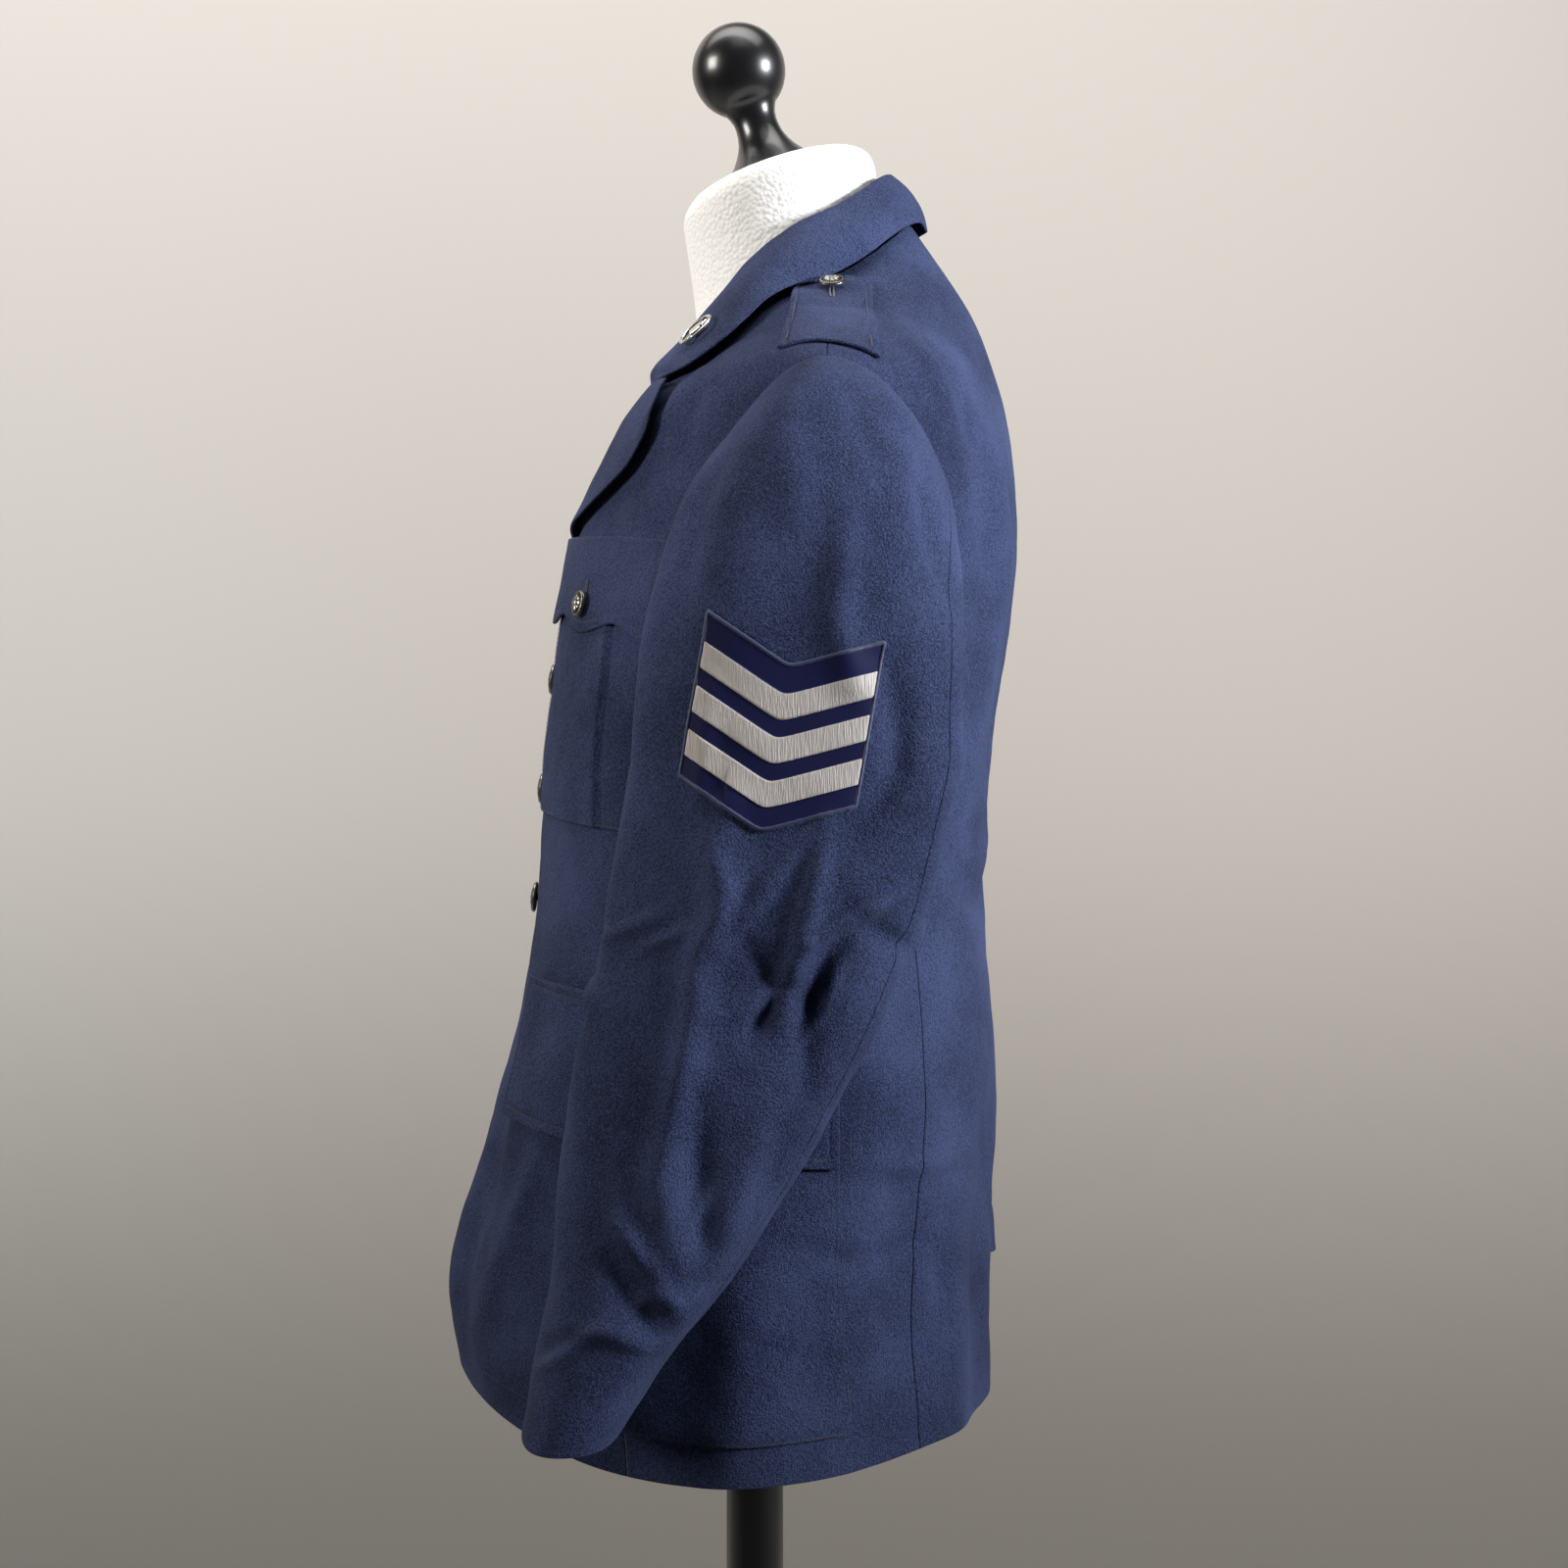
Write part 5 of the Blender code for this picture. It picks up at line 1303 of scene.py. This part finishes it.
for side, surface, creases in SLEEVES:
    target = np.stack([leaned_y, leaned_z], -1)
    places = find(surface, (5 - 70 * across_grid, 1.0 + 0 * across_grid), (1, 2), target)
    points, out = on(surface, places[..., 0], places[..., 1], 0.0, creases)
    satin = 0.00012 * np.sin(across_grid * 260 + 40 * np.sin(up_grid * 50))
    rise = BADGE_LOW + BADGE_WALL + in_stripe * (0.0008 + satin)
    rim = np.minimum.reduce(list(distances(points).values()))
    rise = rise - 0.0007 * (1 - smooth(0, 0.001, rim))
    top = points + out * rise[..., None]
    under = points + out * BADGE_LOW
    rows, columns = top.shape[:2]
    count = rows * columns
    quads, edge = quads_and_edge(np.arange(count).reshape(rows, columns))
    faces = quads + [[corner + count for corner in quad[::-1]] for quad in quads]
    faces += [[a, a + count, b + count, b] for a, b in zip(edge, edge[1:] + edge[:1])]
    centres = in_stripe[:-1, :-1] + in_stripe[:-1, 1:] + in_stripe[1:, 1:] + in_stripe[1:, :-1]
    centres = centres.reshape(-1) / 4
    slots = np.concatenate([centres > 0.5, np.zeros(len(faces) - len(centres))]).astype(int)
    points_of_both = np.concatenate([top.reshape(-1, 3), under.reshape(-1, 3)])
    patch = put(
        "badge_sleeve_" + side, points_of_both, faces, [badge_navy, badge_grey],
        "sleeve_badge_" + side, side == "right", slots, sharp=180,
    )
    # The merrowed edge: a cord of overcast thread all round.
    closed = (points + out * (BADGE_LOW + 0.0009)).reshape(-1, 3)[edge + edge[:1]]
    closed_out = out.reshape(-1, 3)[edge + edge[:1]]
    at = np.concatenate([[0], np.cumsum(np.linalg.norm(np.diff(closed, axis=0), axis=1))])
    stops = np.linspace(0, at[-1], EDGE_TURNS, endpoint=False)
    centre = np.stack([np.interp(stops, at, closed[:, k]) for k in range(3)], -1)
    ways = np.stack([np.interp(stops, at, closed_out[:, k]) for k in range(3)], -1)
    over = np.cross(unit(np.roll(centre, -2, 0) - np.roll(centre, 2, 0)), ways)
    ridge = 1 + 0.14 * (np.arange(EDGE_TURNS) % 2) + 0.06 * np.sin(np.arange(EDGE_TURNS) * 0.7)
    thread_ring(
        "badge_merrow_" + side, centre, 0.0011 * over, 0.0009 * ways, ridge, 8,
        badge_edge, side == "right",
    )


# Collar badges: plain polished rings of white metal with an open middle and a plain lozenge held in it by
# two arms. Each is pinned through the collar near its front corner.
RING_RADIUS = 0.0113
RING_WIRE = 0.0013

leaf_five = collar_rows(np.linspace(0, 1, 5))
foot = (leaf_five[2, 3] + leaf_five[3, 2]) / 2
away = unit(grid_out(leaf_five)[2, 3] + grid_out(leaf_five)[3, 2])
away = away if away[0] > 0 else -away
polished, _ = finish("badge_metal", (0.62, 0.60, 0.56, 1), 0.22, 1.0)
axis, across_way, other = ring_frame(away)
centre = foot + axis * 0.0036
points = []
for cosine, sine in zip(*circle(ROUND)):
    way = cosine * across_way + sine * other
    for wide, high in zip(*circle(12)):
        points.append(centre + way * (RING_RADIUS + RING_WIRE * wide) + RING_WIRE * 0.75 * high * axis)
faces = turned_over(bands(ROUND, 12, closed=True))
start = len(points)
lean = np.radians(25)
long_way = np.cos(lean) * across_way + np.sin(lean) * other
short_way = -np.sin(lean) * across_way + np.cos(lean) * other
outline = [(-10.6, 0.7), (-5.2, 0.7), (0, 6.4), (5.2, 0.7), (10.6, 0.7)]
outline += [(-long, -short) for long, short in outline]
for lift, inset in ((-0.0010, 1.0), (0.0006, 1.0), (0.0010, 0.86)):
    for long, short in outline:
        points.append(centre + (long_way * long + short_way * short * inset) / 1000 + axis * lift)
faces += [[start + corner for corner in face] for face in capped(3, len(outline))]
for side in ("left", "right"):
    name, node = "badge_collar_" + side, "collar_badge_" + side
    put(name, points, faces, [polished], node, side == "right", sharp=30)


# Room: a pale wall behind the coat, with painted shade darkening it towards the floor, and a pale floor,
# with soft light from the right, the back and above.
# The camera stands level with the waist on the wearer's left.
WALL_PAINT = (0.74, 0.715, 0.68, 1)
# Painted shade: the wall's colour at the floor, darker than its paint.
WALL_PAINTED_SHADE = (0.34, 0.33, 0.31, 1)
FLOOR_PAINT = (0.55, 0.53, 0.50, 1)
CAMERA_PLACE = (1.5, 0.019, 1.202)
CAMERA_LENS = 52.7

wall_paint, shader = finish("wall_paint", WALL_PAINT, 0.9)
# Painted shade: the wall's base colour ramps from the darker tone near the floor up to the pale paint above
# 1.3 m.
where = add_node(wall_paint, "TexCoord")
height = add_node(wall_paint, "SeparateXYZ")
painted_shade_ramp = add_node(wall_paint, "MapRange")
painted_shade_ramp.interpolation_type = "SMOOTHSTEP"
painted_shade_ramp.inputs["From Min"].default_value = 0.10
painted_shade_ramp.inputs["From Max"].default_value = 1.30
wall_painted_shade = mix_of(wall_paint, WALL_PAINTED_SHADE, WALL_PAINT)
join(
    wall_paint,
    (where, "Object", height, "Vector"),
    (height, "Z", painted_shade_ramp, "Value"),
    (painted_shade_ramp, "Result", wall_painted_shade, "Factor"),
    (wall_painted_shade, "Result", shader, "Base Color"),
)
floor_paint, _ = finish("floor_paint", FLOOR_PAINT, 0.8)


def plane(name, corners, made):
    mesh = bpy.data.meshes.new(name)
    mesh.from_pydata(corners, [], [(0, 1, 2, 3)])
    mesh.materials.append(made)
    piece = bpy.data.objects.new(name, mesh)
    bpy.context.scene.collection.objects.link(piece)
    piece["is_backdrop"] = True
    return piece


plane("floor", [(-9, -9, 0), (9, -9, 0), (9, 9, 0), (-9, 9, 0)], floor_paint)
plane("wall", [(-1.6, -9, 0), (-1.6, 9, 0), (-1.6, 9, 6), (-1.6, -9, 6)], wall_paint)


def lamp(name, place, aim, size, power, colour, spread):
    light = bpy.data.lights.new(name, "AREA")
    light.shape = "RECTANGLE"
    light.size = size[0]
    light.size_y = size[1]
    light.energy = power
    light.color = colour
    light.spread = np.radians(spread)
    made = bpy.data.objects.new(name, light)
    made.location = place
    way = Vector(aim) - Vector(place)
    made.rotation_euler = way.to_track_quat("-Z", "Y").to_euler()
    bpy.context.scene.collection.objects.link(made)
    return made


lamp("window", (1.00, 2.6, 1.90), (0.1, 0.05, 1.48), (0.8, 0.8), 12.5, (0.92, 0.96, 1.0), 42)
lamp("ceiling", (0.9, 0.1, 3.2), (0.1, 0.0, 1.6), (1.2, 1.2), 0.8, (1.0, 0.98, 0.96), 60)
lamp("front_fill", (1.0, -2.3, 2.1), (0.0, 0.0, 1.62), (1.0, 1.0), 6.4, (1.0, 0.96, 0.90), 50)
lamp("wall_wash", (-0.35, -0.55, 3.7), (-1.6, -0.15, 1.3), (4.6, 1.5), 68, (1.0, 0.965, 0.93), 115)

world = bpy.data.worlds.new("room")
world.use_nodes = True
world.node_tree.nodes["Background"].inputs["Color"].default_value = (0.86, 0.90, 1.0, 1)
world.node_tree.nodes["Background"].inputs["Strength"].default_value = 0.03
bpy.context.scene.world = world
bpy.context.scene.view_settings.view_transform = "Standard"

lens = bpy.data.cameras.new("camera")
lens.lens = CAMERA_LENS
lens.sensor_width = 36
lens.dof.use_dof = False
camera = bpy.data.objects.new("camera", lens)
camera.location = CAMERA_PLACE
camera.rotation_euler = (np.radians(90), 0, np.radians(90))
bpy.context.scene.collection.objects.link(camera)
bpy.context.scene.camera = camera

bpy.context.view_layer.update()
low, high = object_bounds()
